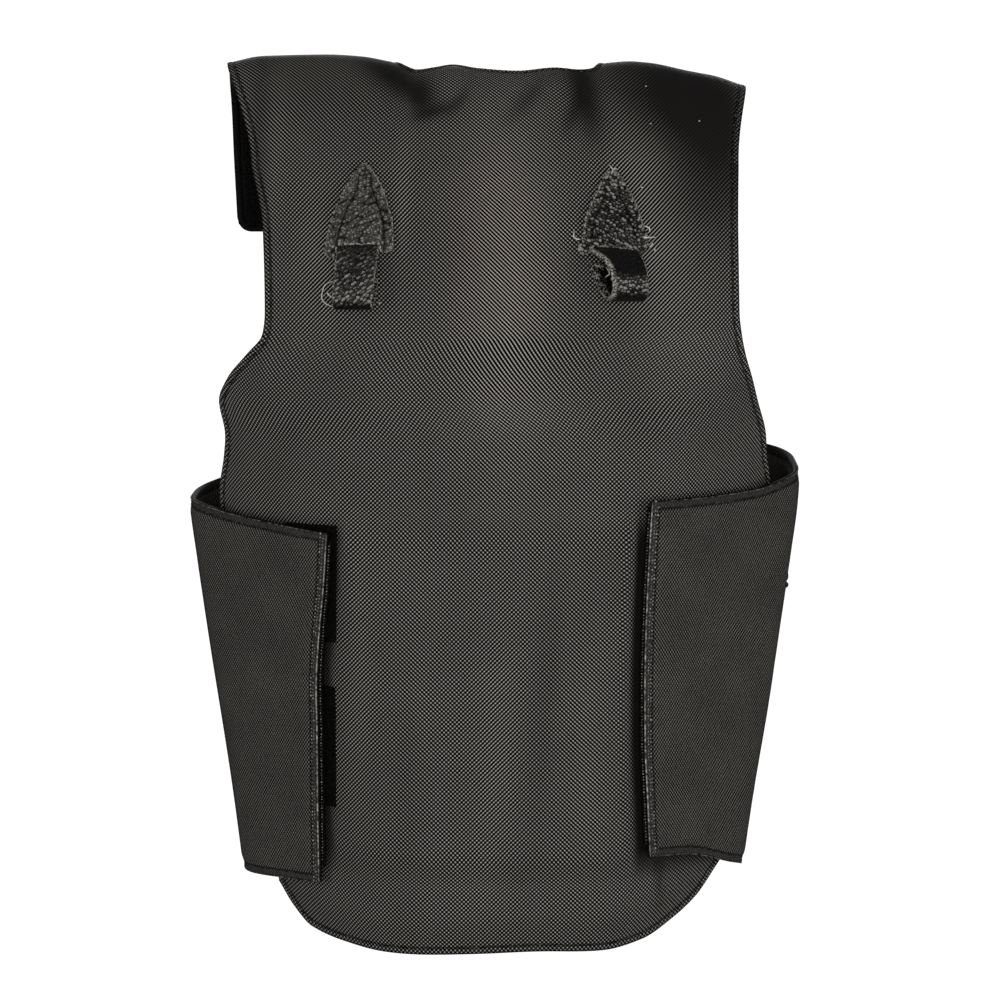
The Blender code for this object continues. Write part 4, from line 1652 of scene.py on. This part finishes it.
stitches = bmesh.new()
dots = bmesh.new()
folds = bmesh.new()
lips = bmesh.new()
tube(stitches, smooth_path(KNOT), KNOT_RADIUS)
for name, side in SIDES:
    normals = normals_of(wing_grids[name], (side, 0, 0))
    out = wing_grids[name] + normals * WING_SEAM_HALF
    proud = wing_grids[name] + normals * FOLD_HALF
    for edge in ("low", "high"):
        sew(stitches, inset_line(out, edge, HEM_INSET), *HEM_STITCH, 20 + side)
        line = inset_line(proud, edge, LIP_INSET)
        tube(lips, along_line(line, np.linspace(0.0, run_along(line)[-1], LIP_STEPS)), LIP_RADIUS)
    for inset, pitch, length, radius, seed in END_ROWS:
        sew(dots, inset_line(out, "left", inset), pitch, length, radius, seed + side)
    tube(folds, inset_line(proud, "left", FOLD_INSET), FOLD_RADIUS)
thread_piece("wing_stitches", stitches, THREAD)
thread_piece("wing_end_stitches", dots, WORN_THREAD)
thread_piece("wing_folds", folds, WORN_THREAD)
thread_piece("wing_lips", lips, FOLD)

# %% [markdown]
# The hook strips are cut from a roll, and their cut edge frays to a row of pale dots.

# %% Fringe of the hook strips
FRINGE_AWAY = PAD / 2 + GAP + LOOP + GAP + HOOK
FRINGE_REACH = 0.7
FRINGE_STITCH = (1.9, 1.1, 0.5)

bm = bmesh.new()
for name, side, proud, low, high in zip(*HOOK_TAPES.values()):
    z = np.linspace(low + 3, high - 3, 120)
    x = smooth(WING_ENDS, name, z) - side * (proud - FRINGE_REACH)
    line = bulged(level(on_back(x, z, FRINGE_AWAY), z))
    sew(bm, line, *FRINGE_STITCH, 50 + side)
thread_piece("hook_fringe", bm, WORN_THREAD)

# %% [markdown]
# Loose ends of thread curl round the leather tabs, and three specks of lint lie on the right shoulder.
# Each thread is a few places on the back: across, away from it, and up.

# %% Loose threads
THREAD_RADIUS = 0.4
LINT_RADIUS = 0.35
BLUNT_ENDS = 0.3

LOOSE = (
    ((-96, 13, -132), (-101.9, 10, -134.6), (-104.2, 7, -141), (-101.4, 7, -145), (-95.4, 11, -147.4)),
    ((-101, 9, -138), (-98.8, 10, -140.5), (-96, 11, -142.4)),
    ((69.0, 8.8, -63.0), (71.3, 9.2, -65.7), (73.5, 9.0, -65.4)),
    ((71.3, 9.2, -65.7), (70.0, 9.0, -68.8)),
    ((87.2, 7, -104.4), (91.4, 8.5, -105.8), (97.0, 8, -105.3)),
    ((89.5, 7.5, -98.4), (92.8, 8.5, -100.2), (93.2, 8, -102.6)),
    ((95.1, 7, -108.3), (94.2, 8, -110.4), (92.8, 7, -111.3)),
    ((96.2, 7, -111.8), (96.2, 8, -114.0)),
    ((47.7, 7, -101.1), (47.2, 8, -104.7), (49.6, 8.3, -106.7), (51.4, 8, -106.7)),
    ((66.0, 14, -124.0), (68.0, 15, -128.0), (65.5, 13, -130.0)),
    ((88.3, 5.6, -75.2), (88.9, 6.0, -75.5), (89.6, 5.7, -75.3)),
    ((-67.8, 5.7, -77.5), (-67.0, 6.0, -77.0), (-66.2, 5.7, -77.1)),
    ((-69.9, 5.7, -144.0), (-69.4, 6.0, -144.3), (-68.8, 5.7, -144.1)),
)

LINT = ((93.7, -12.6), (96.1, -35.9), (125.7, -34.7))
LINT_CURL = ((-0.6, 0, -0.3), (0, -0.4, 0), (0.6, 0, 0.1))

bm = bmesh.new()
for strand in LOOSE:
    x, away, z = np.array(strand, float).T
    tube(bm, smooth_path(on_back(x, z, away)), THREAD_RADIUS, blunt=BLUNT_ENDS)
up_to_crown = back_grid[:crown_row]
normals = normals_of(up_to_crown, (0, -1, 0))
for x, z in LINT:
    miss = np.hypot(up_to_crown[..., 0] - x, up_to_crown[..., 2] - z)
    where = np.unravel_index(np.argmin(miss), miss.shape)
    middle = up_to_crown[where]
    middle = middle + normals[where] * (back_pad(Vector(middle)) / 2 + 0.3)
    tube(bm, smooth_path(middle + np.array(LINT_CURL)), LINT_RADIUS, blunt=BLUNT_ENDS)
thread_piece("loose_threads", bm, FIBRE)

# %% [markdown]
# The camera stands where the photographer stood: behind the vest, a little above its middle, looking
# slightly down. A long lens from 1.6 m keeps the sides nearly parallel.

# %% Camera
CAMERA_DISTANCE = 1.6
CAMERA_TILT = math.radians(6.0)
CAMERA_TARGET = Vector((0.0031, -0.060, -0.267))
FRAME_WIDTH = 0.624
SENSOR = 36.0

camera_data = bpy.data.cameras.new("camera")
camera_data.sensor_width = SENSOR
camera_data.lens = SENSOR * CAMERA_DISTANCE / FRAME_WIDTH
camera = linked("camera", camera_data)
offset = Vector((0.0, -math.cos(CAMERA_TILT), math.sin(CAMERA_TILT))) * CAMERA_DISTANCE
camera.location = CAMERA_TARGET + offset
camera.rotation_euler = (math.pi / 2 - CAMERA_TILT, 0.0, 0.0)
bpy.context.scene.camera = camera
print("lens:", round(camera_data.lens, 1), "mm")

# %% [markdown]
# The photo has a pure white ground and very soft light from the front. A white dome all round gives the
# ground, and large soft lamps beside and above the camera give the light. One more stands behind the
# vest, so that its front isn't black when it is seen from there. The plain view transform keeps white
# paper white.

# %% Stage and light
bpy.context.scene.view_settings.view_transform = "Standard"

DOME_RADIUS = 6.0
PAPER_GLOW = 1.1
ROOM_LIGHT = 0.10
WHITE = (1.0, 1.0, 1.0, 1.0)

dome_mesh = bpy.data.meshes.new("white_dome")
bm = bmesh.new()
bmesh.ops.create_uvsphere(bm, u_segments=48, v_segments=24, radius=DOME_RADIUS)
bmesh.ops.reverse_faces(bm, faces=bm.faces)
bm.to_mesh(dome_mesh)
bm.free()
dome = linked("white_dome", dome_mesh)
paper = bpy.data.materials.new("white_paper")
paper.use_nodes = True
paper.node_tree.nodes.clear()
glow = add(paper.node_tree, "Emission", {"Color": WHITE, "Strength": PAPER_GLOW})
add(paper.node_tree, "OutputMaterial", {"Surface": glow})
dome_mesh.materials.append(paper)
for ray in ("diffuse", "glossy", "transmission", "shadow", "volume_scatter"):
    setattr(dome, "visible_" + ray, False)

LAMPS = table(
    "name x y z width height power",
    ("front", 0.0, -2.4, -0.25, 1.8, 1.8, 21.0),
    ("left", -2.0, -1.5, 0.0, 1.0, 1.8, 13.0),
    ("right", 1.9, -1.5, -0.35, 1.0, 1.8, 17.0),
    ("above", -0.5, -1.2, 1.7, 1.4, 0.9, 5.0),
    ("far_side", 0.0, 2.4, 0.2, 1.8, 1.8, 22.0),
)

for name, x, y, z, width, height, power in zip(*LAMPS.values()):
    lamp_data = bpy.data.lights.new("lamp_" + name, "AREA")
    lamp_data.shape = "RECTANGLE"
    lamp_data.size = width
    lamp_data.size_y = height
    lamp_data.energy = power
    lamp = linked("lamp_" + name, lamp_data)
    lamp.location = (x, y, z)
    lamp.rotation_euler = (CAMERA_TARGET - lamp.location).to_track_quat("-Z", "Y").to_euler()
    lamp.visible_camera = False

world = bpy.data.worlds.new("studio")
world.use_nodes = True
background = world.node_tree.nodes["Background"]
background.inputs["Color"].default_value = WHITE
background.inputs["Strength"].default_value = ROOM_LIGHT
bpy.context.scene.world = world
print("lamps:", len(LAMPS["name"]))
